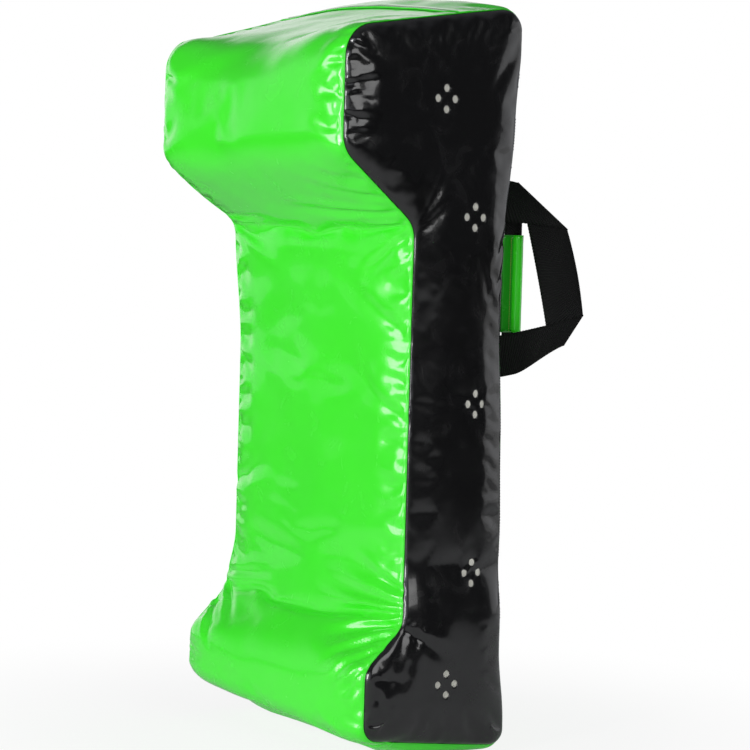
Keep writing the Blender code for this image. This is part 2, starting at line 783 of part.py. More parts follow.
def zip_slider(z, skirt_low, plate_low, plate_high, half, metal):
    """A plate over the chain, a skirt down each side of it and a bail on top."""
    low_z, high_z = 0.0, SLIDER_LENGTH
    place = (0, 0, z)
    slider = box_object(
        "zip_slider", (-half, skirt_low, low_z), (half, plate_high, high_z), metal, place
    )
    channel_half = half - SLIDER_SKIRT
    reach = SLIDER_LENGTH / 10
    channel = box_object(
        "channel",
        (-channel_half, skirt_low - reach, low_z - reach),
        (channel_half, plate_low, high_z + reach),
        metal,
        place,
    )
    middle = SLIDER_LENGTH / 2
    bail_low, bail_high = middle - BAIL_LENGTH / 2, middle + BAIL_LENGTH / 2
    sunk = SLIDER_PLATE_T / 2
    bail_top = plate_high + BAIL_TUNNEL + BAIL_T
    bail = box_object(
        "bail",
        (-BAIL_WIDTH / 2, plate_high - sunk, bail_low),
        (BAIL_WIDTH / 2, bail_top, bail_high),
        metal,
        place,
    )
    tunnel = box_object(
        "tunnel",
        (-BAIL_WIDTH, plate_high, bail_low + BAIL_POST),
        (BAIL_WIDTH, plate_high + BAIL_TUNNEL, bail_high - BAIL_POST),
        metal,
        place,
    )
    combine(slider, [channel], "DIFFERENCE")
    combine(bail, [tunnel], "DIFFERENCE")
    combine(slider, [bail], "UNION")


def zip_pull(z, y, metal):
    """A flat tab that hangs from the bail: its eye's bar lies in the tunnel, on the hinge."""
    half_t = PULL_T / 2
    half_w = PULL_WIDTH / 2
    pull = box_object(
        "zip_pull", (-half_w, -half_t, -PULL_LENGTH), (half_w, half_t, half_t), metal, (0, y, z)
    )
    eye_half = BAIL_WIDTH / 2 + PULL_PLAY
    eye_low = -(BAIL_LENGTH / 2 + BAIL_T + PULL_EYE)
    eye = box_object(
        "eye", (-eye_half, -PULL_T, eye_low), (eye_half, PULL_T, -half_t), metal, (0, y, z)
    )
    combine(pull, [eye], "DIFFERENCE")


def build():
    for obj in list(bpy.data.objects):
        bpy.data.objects.remove(obj)

    green = principled("green_cover", (0.10, 0.83, 0.07), 0.28)
    black = principled("black_cover", (0.012, 0.012, 0.014), 0.25)
    foam = principled("foam", (0.72, 0.72, 0.68), 0.95)
    mesh = principled("vent_mesh", (0.48, 0.48, 0.45), 0.8)
    webbing = principled("webbing", (0.015, 0.015, 0.016), 0.75)
    tape = principled("zip_tape", (0.012, 0.012, 0.013), 0.85)
    plastic = principled("zip_coil", (0.015, 0.015, 0.016), 0.4)
    metal = principled("zip_metal", (0.45, 0.45, 0.46), 0.35, 1.0)

    foam_core(foam)
    front_cover(green)
    back_cover(green)
    base_cover(green)
    side_panel("side_panel_right", 1, black)
    side_panel("side_panel_left", -1, black)
    vent_meshes(mesh)
    handles(webbing, green, black)
    zip_parts(tape, plastic, metal)


build()
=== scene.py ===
"""The looks of the tackle wedge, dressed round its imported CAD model.

Metres, +Z up, in the part's own frame: the front with its recess faces -Y and
the photographed black side is +X. The cover is one stuffed skin of coated
fabric. It is modelled as a whole, tucked in at its seams, blown up as cloth,
and then cut into the panels that it is sewn from.
"""

import math
import random
from collections import namedtuple

import bmesh
import bpy
import numpy as np
from mathutils import Matrix, Vector, noise
from mathutils.bvhtree import BVHTree
from mathutils.geometry import delaunay_2d_cdt


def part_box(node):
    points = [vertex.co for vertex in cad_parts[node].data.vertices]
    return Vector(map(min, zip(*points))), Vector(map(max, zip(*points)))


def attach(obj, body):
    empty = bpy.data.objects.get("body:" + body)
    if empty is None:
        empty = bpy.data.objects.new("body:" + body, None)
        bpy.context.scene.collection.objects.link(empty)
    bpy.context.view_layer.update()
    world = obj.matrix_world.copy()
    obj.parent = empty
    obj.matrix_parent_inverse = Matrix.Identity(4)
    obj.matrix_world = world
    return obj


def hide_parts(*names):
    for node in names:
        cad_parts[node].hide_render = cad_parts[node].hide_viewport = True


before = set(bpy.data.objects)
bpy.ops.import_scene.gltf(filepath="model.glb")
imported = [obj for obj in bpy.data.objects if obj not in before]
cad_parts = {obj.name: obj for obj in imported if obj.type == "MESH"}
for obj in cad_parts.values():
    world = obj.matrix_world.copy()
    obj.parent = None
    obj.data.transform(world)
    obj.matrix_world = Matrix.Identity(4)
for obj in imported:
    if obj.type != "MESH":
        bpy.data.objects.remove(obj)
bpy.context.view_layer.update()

# Side seams: the outline that the side panels are cut to, as in the CAD source
SEAM_WIDTH = 0.389
HALF_WIDTH = SEAM_WIDTH / 2
BACK_Y = 0.090
HEAD_DEPTH = 0.252
WAIST_DEPTH = 0.147
FOOT_DEPTH = 0.1995
TOP_BACK_Z = 0.904
TOP_FRONT_Z = 0.865
HEAD_LOW_Z = 0.723
WAIST_TOP_Z = 0.638
WAIST_LOW_Z = 0.164
FOOT_HIGH_Z = 0.115
BASE_FRONT_Z = 0.031
BASE_BACK_Z = 0.009
SIDE_CROWN = 0.012
BACK_CROWN = 0.009
WRAP_ROLL = 0.055
PANEL_ROLL = 0.037
LAP_FROM_BACK = 0.0855
LAP_OVER = 0.012
LAP_RAMP = 0.006
BASE_SEAM_FROM_FRONT = 0.034
BACK_SEAM_Z = 0.048
TOE_LENGTH = 0.0765
TOE_LIFT = 0.029
COVER_T = 0.0010
LEAST_RADIUS = 0.002
FLOOR = "floor"

# Vents, straps and zip, as in the CAD source
VENTS = ((0.1135, 0.788), (0.066, 0.650), (0.0555, 0.427), (0.054, 0.224), (0.0885, 0.093))
VENT_HOLE_R = 0.0049
VENT_SPREAD = 0.0125
ZIP_LOW_Z = 0.130
ZIP_HIGH_Z = 0.730
ZIP_SLOT = 0.0100
STRAP_UPPER_Z = 0.672
STRAP_LOWER_Z = 0.482
STRAP_X = 0.147
GRIP_X = 0.139
GRIP_REACH = 0.033
GRIP_WIDTH = 0.025
PATCH_X = 0.137
HINGE_Y = 0.1016
BACK_FACE_Y = BACK_Y + BACK_CROWN
WAIST_MIDDLE_Z = 0.4

# Spacing of the cover's mesh
ROW_STEP = 0.0065
ARC_STEP = math.radians(10)
SEAM_MARGINS = (0.0, 0.0025, 0.006, 0.011, 0.017, 0.024, 0.032, 0.041, 0.050)
MIDDLE_COLUMNS = 15
PANEL_INSETS = (0.0, 0.0025, 0.006, 0.011, 0.017, 0.0235)
PANEL_GRID = 0.0076
VENT_SIDES = 14

# The two sides of the object, and the angle from which an edge is shaded as sharp
SIDES = ((1, "right"), (-1, "left"))
SHARP_ANGLE = math.radians(50)

# How far the filling and the seams move the skin
WAIST_DRAWN_IN = 0.0095
FRONT_DRAWN_IN = 0.0067
TOP_FLATTENED = 0.013
TOP_KEPT_AT_BACK = 0.45
TOP_RIDGE = 0.005
TOP_SAG = 0.012
FAR_TOP_LIFT = 0.009
FAR_TOP_SLOPE = 0.135
FAR_CORNER_UP = 0.006
FAR_HEAD_FORWARD = 0.005
FAR_HEAD_SAG = 0.008
FAR_TOE_LIFT = 0.024
BACK_EDGE_FOOT = 0.0085
BACK_EDGE_HEAD = 0.0052
BACK_EDGE_LOW = 0.0028
BACK_EDGE_WAIST = 0.0117

# The stretch of an axis over which each move comes in, negated where it comes in against the
# axis, or the centre of a move and how far it reaches below and above that
HIGH_Z = (0.74, 0.87)
TOP_Z = (0.80, 0.86)
CORNER_X = (0.09, 0.19)
CORNER_Y = (0.10, 0.15)
RIDGE_X = (-0.03, 0.16, 0.18)
RIDGE_Y = (0.025, 0.12, 0.075)
TOP_SAG_Y = (-0.02, 0.16)
NEAR_X = (0.02, 0.13)
NEAR_BACK_Y = (0.0, 0.07)
FAR_HEAD_X = (0.05, 0.19)
FAR_HEAD_Y = (0.02, 0.10)
FAR_HEAD_Z = (0.62, 0.70)
FAR_SAG_Z = (-0.80, -0.74)
TOE_X = (-0.15, 0.19)
TOE_Y = (0.0, 0.06)
TOE_Z = (-0.12, -0.04)
TWIST_X = (-HALF_WIDTH, -0.01)
BACK_FOOT_Z = (-0.13, -0.04)
BACK_HEAD_Z = (0.77, 0.85)
BACK_LOW_Z = (0.27, 0.10, 0.10)
BACK_WAIST_Z = (0.62, 0.26, 0.15)
SIDE_BACK_Y = (0.02, 0.085)
ON_BACK_Y = (0.070, 0.088)

# The distances from the back over which the front's moves come in, how far above the waist its
# drawing in starts, the lengths over which it comes in at both ends, and the distances from
# the side seams over which the back's edges and its roll go over into the back
FRONT_FROM_BACK = (0.015, 0.075)
WAIST_START_UP = 0.005
WAIST_TOP_EASE = 0.17
WAIST_LOW_EASE = 0.075
BACK_EDGE_MARGIN = 0.052
BACK_ROLL_MARGIN = 0.046

# How far off the zip, the patches and the floor the skin starts to be free, and is quite free
ZIP_EASES_X = (0.016, 0.045)
ZIP_EASES_Z = (0.02, 0.05)
PATCH_EASES_X = (0.030, 0.046)
PATCH_EASES_Z = (0.036, 0.052)
FLOOR_EASES_Z = (0.004, 0.030)

# The cloth simulation, and the gathers and creases of the cover
CLOTH = {
    "quality": 5,
    "mass": 0.4,
    "tension_stiffness": 50,
    "compression_stiffness": 50,
    "shear_stiffness": 25,
    "bending_stiffness": 2.5,
    "use_pressure": True,
    "uniform_pressure_force": 4,
    "vertex_group_mass": "held",
    "vertex_group_shrink": "cut_short",
    "shrink_min": -0.040,
    "shrink_max": 0,
}
CLOTH_STEPS = 18
PUCKER_SEEDS = {"right": 11, "left": 29}
LOOSE_HOLD = 0.04
LEAST_FREE = 0.05
SLACK_COMES = (0, 0.004)
SLACK_GOES = (0.018, 0.045)
PUCKER_WIDTH = 0.0020
PUCKER_WIDENS = 0.22
PUCKER_START = 0.0022
FOLD_NARROW = 0.45
FOLD_WIDENS = 0.75
FOLD_COMES = (-0.06, 0.10)
FOLD_GOES = (0.35, 1.05)
RIDGE_ASIDE = 1.7
RIDGE_SHARE = 0.55
MOST_BLOWN = 0.007
SWELLING_LEFT_OUT = 0.8
SMOOTHING_STEPS = 40
PUCKER_DEPTH = 0.0036
PUCKER_REACH = (0.010, 0.034)
PUCKER_STEP = (0.012, 0.034)
PUCKER_STRENGTH = (0.3, 1.0)
PUCKER_LEAN = (-0.7, 0.7)
PANEL_SHARE = 0.6
SLACK_DEPTH = 0.0022
FINE_SLACK_DEPTH = 0.0007
END_TUCK = 0.0018
END_TUCK_WIDTH = 0.0035
LAP_LIFT = 0.0016

# Seam lips and thread: each stitch's pitch, length and radius, and its shape as the share of
# its length, its thickness and its lift off the fabric
LIP_R = 0.0007
LIP_ASIDE = 0.4
LIP_PROUD = 0.3
LIP_SUNK = 1.7
BEAD_SIDES = 6
COVER_STITCH = (0.0036, 0.0024, 0.00042)
LAP_STITCH = (0.0042, 0.0028, 0.00042)
PATCH_STITCH = (0.0030, 0.0022, 0.00036)
SLEEVE_STITCH = (0.0030, 0.0019, 0.00048)
STITCH_SHAPE = ((0.0, 0.5, -0.7), (0.25, 1.0, 0.3), (0.75, 1.0, 0.3), (1.0, 0.5, -0.7))
THREAD_INSET = 0.0026
LAP_STITCH_SHARE = 0.30
LAP_STITCH_HALF = 0.182
LAP_STITCH_UP = 0.013
ZIP_STITCH_END = 0.006
ZIP_STITCH_ASIDE = 0.0035

# Mesh behind the vents, and foam
VENT_X = 0.200
MESH_HALF = 0.019
MESH_CELLS = 12
MESH_BEHIND = 0.0012
MESH_SMOOTHINGS = 6
MESH_T = 0.0005
FOAM_INSET = 0.026
FOAM_FROM_SIDES = 0.004
FOAM_GAP = 0.0004
FOAM_EDGE = 0.006

# Patches
PATCH_WIDE = 0.052
PATCH_TALL = 0.066
PATCH_STEP = 0.002
PATCH_T = 0.0012
PATCH_CORNER = 0.006
PATCH_LIFT = 0.0003
PATCH_PUFF = 0.0004
PATCH_STITCH_IN = 0.0045
PATCH_STITCH_SUNK = 0.0002
CROSS_FROM_EDGE = 0.004
CROSS_FROM_END = 0.010

# Webbing: its places are the distance from the hinge and the height at each end and fold, its
# bows the sag of each stretch, and the curl comes and goes over shares of the stretches
WEBBING_T = 0.0013
WEBBING_STEP = 0.005
WEBBING_SWAY = 0.0003
RIB_HALF = 0.0015
RIB_RISE = 0.00028
RIB_LOOP = 0.016
FOLD_GAP = 0.00015
FOLD_STEPS = 6
CURL_COMES = (0.78, 1.0)
CURL_GOES = (-0.05, 0.62)
STRAP_PLACES = ((-0.0005, 0.672), (0.058, 0.667), (0.094, 0.504), (-0.0005, 0.4795))
GRIP_PLACES = ((-0.0005, 0.672), (GRIP_REACH, 0.672), (GRIP_REACH, 0.482), (-0.0005, 0.482))
Strip = namedtuple("Strip", "node body width places hinge_x splay bows curl")
STRAP = Strip(
    "arm_strap", "strap", 0.050, STRAP_PLACES, STRAP_X, math.radians(28), (0.0012, 0.0026, 0.0015), 0.38
)
GRIP = Strip("grip_webbing", "grip", GRIP_WIDTH, GRIP_PLACES, GRIP_X, math.radians(5), (0, 0, 0), 0)

# Grip sleeves
SLEEVE_T = 0.0008
SLEEVE_ROUND_R = 0.0075
SLEEVE_MIDDLE = GRIP_REACH + GRIP_WIDTH / 2 - 0.006
SLEEVE_SHIFT = 0.0016
SLEEVE_FLAP_T = 0.0046
SLEEVE_FLAP = 0.0215
SLEEVE_LOW_Z = 0.5105
SLEEVE_LENGTH = 0.120
SLEEVE_ROWS = 30
FLAP_STEPS = 6
ROUND_STEPS = 24
SLEEVE_PINCH = 0.0005
SLEEVE_PUFF = 0.0003
SLEEVE_UV_STEP = 0.0016
SLEEVE_STITCH_BACK = 0.0027
SLEEVE_STITCH_SUNK = 0.0004
SLEEVE_STITCH_END = 0.002

# Zip: the tape's profile is (distance from the middle, rise), and a tooth's sections are (share
# of its reach, rise, half depth, half height)
TAPE_PROFILE = (
    (0.0004, 0.0), (0.0032, 0.0), (0.0040, 0.0004), (0.0075, 0.0), (0.0110, 0.0), (0.0144, 0.0)
)
TAPE_T = 0.0005
TAPE_ROWS = 120
TAPE_BEHIND = 0.0009
TAPE_PAST_ZIP = 0.014
TOOTH_PITCH = 0.0013
TOOTH_SHAPE = (
    (1.0, 0.0, 0.0005, 0.0007),
    (0.6, 0.00005, 0.0009, 0.0005),
    (0.0, 0.00025, 0.0010, 0.00045),
    (-0.28, 0.0003, 0.0009, 0.0006),
    (-0.42, 0.0003, 0.0005, 0.0004),
)
METAL_EDGE = 0.00028

# The room's light: its tint, what comes from everywhere and from above, the cosines between
# which that rises, the heights between which its walls fade, the backdrop's direction and the
# cosines at which it starts and is full, and the same for each wall with its strength
ROOM_TINT = (0.95, 0.97, 1.05)
ROOM_DIM = 0.05
ROOM_TOP = 0.25
ROOM_OVERHEAD = (0.5, 1.0)
ROOM_FADE = (0.28, 0.62)
BACKDROP = ((-0.94, 0.34, 0.0), 0.78, 0.90)
ROOM_WALLS = (
    ((-0.53, 0.85, 0.0), 0.36, 0.50, 0.22),
    ((-0.95, -0.30, 0.0), 0.85, 1.02, 0.60),
    ((0.25, -0.97, 0.0), 0.60, 0.95, 1.1),
)

# The floor, with the distances between which it fades for the camera and between which its colour
# darkens, painted shade for the fall-off of light far from the object, and the values at both
FLOOR_HALF = 6.0
FLOOR_FADE = (0.20, 0.85, 0.86, 1.0)
FLOOR_PAINTED_FALLOFF = (1.0, 3.2, 0.90, 0.05)

# Lamps: where each is, the point that it faces, its width and height, its power in watts, and
# whether gloss shows it
LAMPS = (
    ("strip_front", (1.05, -2.75, 0.75), (0.0, 0.0, 0.5), (0.45, 1.2), 30, True),
    ("box_right", (3.0, -0.30, 1.65), (0.1, 0.0, 0.75), (2.1, 1.5), 27, True),
    ("box_front", (-0.80, -3.0, 0.75), (0.0, 0.0, 0.5), (1.2, 1.2), 31, True),
    ("box_rear", (0.9, 2.8, 0.9), (0.0, 0.0, 0.6), (2.0, 2.0), 6.5, True),
    ("fill_rear", (-0.2, 3.2, 1.0), (0.0, 0.0, 0.5), (2.0, 2.0), 20, False),
)

# The camera's azimuth, elevation and roll in degrees, its lengths in metres and its lens in
# millimetres
CAMERA_ANGLES = (54.564, 3.002, 1.653)
CAMERA_TARGET = (0, 0.090, 0.456)
CAMERA_DISTANCE = 3.38518
CAMERA_ASIDE = 0.047674
CAMERA_ABOVE = 0.006148
CAMERA_LENS = 128.118

Edge = namedtuple("Edge", "corner radius crown pull marks")
Row = namedtuple("Row", "point normal crown pull mark")
Pucker = namedtuple("Pucker", "place lean reach strength")
Skin = namedtuple("Skin", "points faces parts margins places sides")
Fold = namedtuple("Fold", "start end width depth")


def right_of(direction):
    return Vector((direction.y, -direction.x))


def edge_list():
    """The outline's corners in order. Pull is how hard the seam gathers the wrap and the side
    panel beside the edge after the corner."""
    top_back = Vector((BACK_Y, TOP_BACK_Z))
    top_front = Vector((BACK_Y - HEAD_DEPTH, TOP_FRONT_Z))
    base_front = Vector((BACK_Y - FOOT_DEPTH, BASE_FRONT_Z))
    base_back = Vector((BACK_Y, BASE_BACK_Z))

    def on_top(from_back):
        return top_back.lerp(top_front, from_back / HEAD_DEPTH)

    top_marks = {
        "lap_ramp": on_top(LAP_FROM_BACK - LAP_OVER - LAP_RAMP),
        "lap_under": on_top(LAP_FROM_BACK - LAP_OVER),
        "lap_edge": on_top(LAP_FROM_BACK),
    }
    base_marks = {"front_end": base_front.lerp(base_back, BASE_SEAM_FROM_FRONT / FOOT_DEPTH)}
    back_marks = {
        "base_end": Vector((BACK_Y, BACK_SEAM_Z)),
        "slot_low": Vector((BACK_Y, ZIP_LOW_Z)),
        "slot_high": Vector((BACK_Y, ZIP_HIGH_Z)),
    }
    waist_y = BACK_Y - WAIST_DEPTH
    return [
        Edge(top_back, 0.026, 0.015, Vector((0.50, 0.30)), top_marks),
        Edge(top_front, 0.040, 0.012, Vector((1.00, 0.80)), {}),
        Edge(Vector((BACK_Y - HEAD_DEPTH, HEAD_LOW_Z)), 0.038, 0.009, Vector((0.50, 0.22)), {}),
        Edge(Vector((waist_y, WAIST_TOP_Z)), 0.033, 0.010, Vector((0.85, 0.08)), {}),
        Edge(Vector((waist_y, WAIST_LOW_Z)), 0.024, 0.008, Vector((0.75, 0.15)), {}),
        Edge(Vector((BACK_Y - FOOT_DEPTH, FOOT_HIGH_Z)), 0.028, 0.011, Vector((0.80, 0.35)), {}),
        Edge(base_front, 0.021, FLOOR, Vector((0.40, 0.25)), base_marks),
        Edge(base_back, 0.019, BACK_CROWN, Vector((0.45, 0.12)), back_marks),
    ]


EDGES = edge_list()


def down_to_base(point, normal):
    """How far a point of the outline lies from the base's middle, which is flat on the floor
    up to its lifted toe."""
    behind_front = point.x - (BACK_Y - FOOT_DEPTH)
    lifted = 1 - min(max(behind_front / TOE_LENGTH, 0.0), 1.0)
    return (point.y - TOE_LIFT * lifted) / -normal.y


def crown_on(point, normal, crown):
    return down_to_base(point, normal) if crown == FLOOR else crown


def corner_arc(number, inset):
    """The rounded corner's rows, drawn in by inset."""
    edge, before = EDGES[number], EDGES[number - 1]
    after = EDGES[(number + 1) % len(EDGES)]
    way_in = (edge.corner - before.corner).normalized()
    way_out = (after.corner - edge.corner).normalized()
    normal_in, normal_out = right_of(way_in), right_of(way_out)
    turn = math.atan2(way_in.x * way_out.y - way_in.y * way_out.x, way_in.dot(way_out))
    bend = math.copysign(1, turn)
    mitre = (normal_in + normal_out) / (1 + normal_in.dot(normal_out))
    arc_radius = max(edge.radius - bend * inset, LEAST_RADIUS)
    centre = edge.corner - mitre * (inset + arc_radius * bend)
    reach = edge.radius * math.tan(abs(turn) / 2)
    start_crown = crown_on(edge.corner - way_in * reach, normal_in, before.crown)
    end_crown = crown_on(edge.corner + way_out * reach, normal_out, edge.crown)
    start_angle = math.atan2(normal_in.y, normal_in.x)
    steps = max(3, math.ceil(abs(turn) / ARC_STEP))
    rows = []
    for step in range(steps + 1):
        share = step / steps
        angle = start_angle + turn * share
        normal = Vector((math.cos(angle), math.sin(angle)))
        point = centre + normal * arc_radius * bend
        ease = share * share * (3 - 2 * share)
        crown = start_crown + (end_crown - start_crown) * ease
        if normal.y < 0 and inset == 0:
            crown = min(crown, down_to_base(point, normal))
        rows.append(Row(point, normal, crown, before.pull.lerp(edge.pull, ease), ""))
    return rows


def seam_outline(inset=0.0):
    """The seam outline drawn in by inset. Each inset gives the same number of rows, because a
    row on a straight stretch keeps its share of the stretch."""
    rows = []
    for number, edge in enumerate(EDGES):
        following = (number + 1) % len(EDGES)
        rows += corner_arc(number, inset)
        start, end = rows[-1].point, corner_arc(following, inset)[0].point
        full_start = corner_arc(number, 0)[-1].point
        full_end = corner_arc(following, 0)[0].point
        length = (full_end - full_start).length
        normal = right_of((end - start).normalized())
        stops = [(0.0, "")]
        stops += [((place - full_start).length / length, name) for name, place in edge.marks.items()]
        stops.append((1.0, ""))
        for (low, _), (high, name) in zip(stops, stops[1:]):
            count = max(1, round((high - low) * length / ROW_STEP))
            for k in range(1, count + 1):
                share = low + (high - low) * k / count
                if share < 1.0:
                    point = start.lerp(end, share)
                    crown = crown_on(point, normal, edge.crown)
                    rows.append(Row(point, normal, crown, edge.pull, name if k == count else ""))
    return rows


SEAM = seam_outline()
ROWS = len(SEAM)
SEAM_STEPS = [(SEAM[(r + 1) % ROWS].point - SEAM[r].point).length for r in range(ROWS)]
SEAM_PLACES = np.concatenate([[0.0], np.cumsum(SEAM_STEPS)[:-1]])
SEAM_LENGTH = sum(SEAM_STEPS)
SEAM_POINTS = np.array([row.point[:] for row in SEAM])
WRAP_PULLS, PANEL_PULLS = np.array([row.pull[:] for row in SEAM]).T
MARKS = {row.mark: r for r, row in enumerate(SEAM) if row.mark}


def rows_between(start, end):
    r, last = MARKS[start], MARKS[end]
    found = [r]
    while r != last:
        r = (r + 1) % ROWS
        found.append(r)
    return found


def rolled(share):
    """A quarter round: 0 at a seam, 1 at the end of the roll and beyond it."""
    left = 1 - min(share, 1.0)
    return math.sqrt(1 - left * left)


def wrap_columns():
    """X positions across the wrap, close together where it rolls down to its seams."""
    inner_half = HALF_WIDTH - SEAM_MARGINS[-1]
    step = (inner_half - ZIP_SLOT / 2) / MIDDLE_COLUMNS
    half = [ZIP_SLOT / 2 + step * k for k in range(MIDDLE_COLUMNS + 1)]
    half += [HALF_WIDTH - margin for margin in SEAM_MARGINS[-2::-1]]
    return [-x for x in half[::-1]] + half


COLUMNS = wrap_columns()
WIDE = len(COLUMNS)


def vent_rims(sides, radius=VENT_HOLE_R):
    """The outlines of the vent holes, four in a diamond to each group."""
    turns = [math.tau * k / sides for k in range(sides)]
    for from_back, z in VENTS:
        for across, up in ((0, 1), (1, 0), (0, -1), (-1, 0)):
            centre = Vector((BACK_Y - from_back + across * VENT_SPREAD, z + up * VENT_SPREAD))
            yield centre, [centre + radius * Vector((math.cos(a), math.sin(a))) for a in turns]


def panel_middle(loop):
    """Points and triangles inside a side panel's last ring, clear of its vent holes. The
    first points are the ring's own."""
    count = len(loop)
    points, loops = list(loop), [list(range(count))]
    holes = list(vent_rims(VENT_SIDES))
    for _, rim in holes:
        loops.append(list(range(len(points), len(points) + len(rim))))
        points += rim
    for _, rim in vent_rims(VENT_SIDES, VENT_HOLE_R * 1.55):
        points += rim
    ring = np.array([p[:] for p in loop])
    low, high = ring.min(0), ring.max(0)
    centres = np.array([centre[:] for centre, _ in holes])
    closed = np.vstack([ring, ring[:1]])
    z, odd = low[1], 0
    while z < high[1]:
        y = low[0] + (PANEL_GRID / 2 if odd else 0)
        while y < high[0]:
            inside = 0
            for (y0, z0), (y1, z1) in zip(closed, closed[1:]):
                if (z0 > z) != (z1 > z) and y < y0 + (z - z0) / (z1 - z0) * (y1 - y0):
                    inside += 1
            far = np.min(np.hypot(ring[:, 0] - y, ring[:, 1] - z)) > PANEL_GRID * 0.6
            clear = np.min(np.hypot(centres[:, 0] - y, centres[:, 1] - z)) > VENT_HOLE_R * 2.1
            if inside % 2 and far and clear:
                points.append(Vector((y, z)))
            y += PANEL_GRID
        z += PANEL_GRID * math.sqrt(0.75)
        odd = 1 - odd
    flat, _, triangles, origins, _, _ = delaunay_2d_cdt(points, [], loops, 1, 1e-7)
    order = {tuple(o)[0]: i for i, o in enumerate(origins) if o}
    places = [order[k] for k in range(count)]
    places += [i for i in range(len(flat)) if i not in set(places)]
    rank = {i: k for k, i in enumerate(places)}
    kept = []
    for triangle in triangles:
        middle = sum((flat[i] for i in triangle), Vector((0, 0))) / 3
        if all((middle - centre).length > VENT_HOLE_R * 0.9 for centre, _ in holes):
            area = 0.0
            for i, j in zip(triangle, triangle[1:] + triangle[:1]):
                area += flat[i].x * flat[j].y - flat[j].x * flat[i].y
            face = [rank[i] for i in triangle]
            kept.append(face if area > 0 else face[::-1])
    return [flat[i] for i in places], kept


def part_of_row(r):
    """The panel of the wrap that the faces after a row belong to."""
    for name, start, end in WRAP_PARTS:
        if r in rows_between(start, end)[:-1]:
            return name
    raise ValueError(f"row {r} is in no panel")


WRAP_PARTS = (
    ("lap", "lap_under", "lap_edge"),
    ("front", "lap_edge", "front_end"),
    ("base", "front_end", "base_end"),
    ("back", "base_end", "lap_under"),
)
PARTS = ("lap", "front", "base", "back", "slot", "right", "left")
PANELS = {
    "front_cover": ("front", "lap"),
    "base_cover": ("base",),
    "back_cover": ("back", "lap"),
    "side_panel_right": ("right",),
    "side_panel_left": ("left",),
}


def bare_skin():
    """The whole skin before it is blown up: a closed wrap of rows and columns, and a side
    panel welded to each end of it."""
    points, margins, places, sides, faces, parts = [], [], [], [], [], []

    def add(point, margin, place, side):
        points.append(point)
        margins.append(margin)
        places.append(place)
        sides.append(side)
        return len(points) - 1

    def add_panel_face(face, side):
        area = 0.0
        for i, j in zip(face, face[1:] + face[:1]):
            area += points[i][1] * points[j][2] - points[j][1] * points[i][2]
        faces.append(face if area * side > 0 else face[::-1])
        parts.append("right" if side > 0 else "left")

    slot = set(rows_between("slot_low", "slot_high")[:-1])
    for r, row in enumerate(SEAM):
        for x in COLUMNS:
            margin = HALF_WIDTH - abs(x)
            out = row.point + row.normal * row.crown * rolled(margin / WRAP_ROLL)
            add((x, out.x, out.y), margin, SEAM_PLACES[r], 0)
    for r in range(ROWS):
        name = part_of_row(r)
        for c in range(WIDE - 1):
            a, b = r * WIDE + c, (r + 1) % ROWS * WIDE + c
            faces.append([a, b, b + 1, a + 1])
            parts.append("slot" if r in slot and c == WIDE // 2 - 1 else name)

    rings = [seam_outline(inset) for inset in PANEL_INSETS]
    middle, triangles = panel_middle([row.point for row in rings[-1]])
    for side, column in ((1, WIDE - 1), (-1, 0)):
        ring = [r * WIDE + column for r in range(ROWS)]
        for inset, rows in zip(PANEL_INSETS[1:], rings[1:]):
            x = side * (HALF_WIDTH + SIDE_CROWN * rolled(inset / PANEL_ROLL))
            inner = []
            for row, place in zip(rows, SEAM_PLACES):
                inner.append(add((x, row.point.x, row.point.y), inset, place, side))
            for r in range(ROWS):
                after = (r + 1) % ROWS
                add_panel_face([ring[r], ring[after], inner[after], inner[r]], side)
            ring = inner
        numbers = list(ring)
        for point in middle[ROWS:]:
            far = np.hypot(SEAM_POINTS[:, 0] - point.x, SEAM_POINTS[:, 1] - point.y)
            nearest = int(np.argmin(far))
            x = side * (HALF_WIDTH + SIDE_CROWN * rolled(far[nearest] / PANEL_ROLL))
            numbers.append(add((x, point.x, point.y), far[nearest], SEAM_PLACES[nearest], side))
        for triangle in triangles:
            add_panel_face([numbers[i] for i in triangle], side)
    arrays = [np.array(values, float) for values in (points, margins, places, sides)]
    return Skin(arrays[0], faces, parts, *arrays[1:])


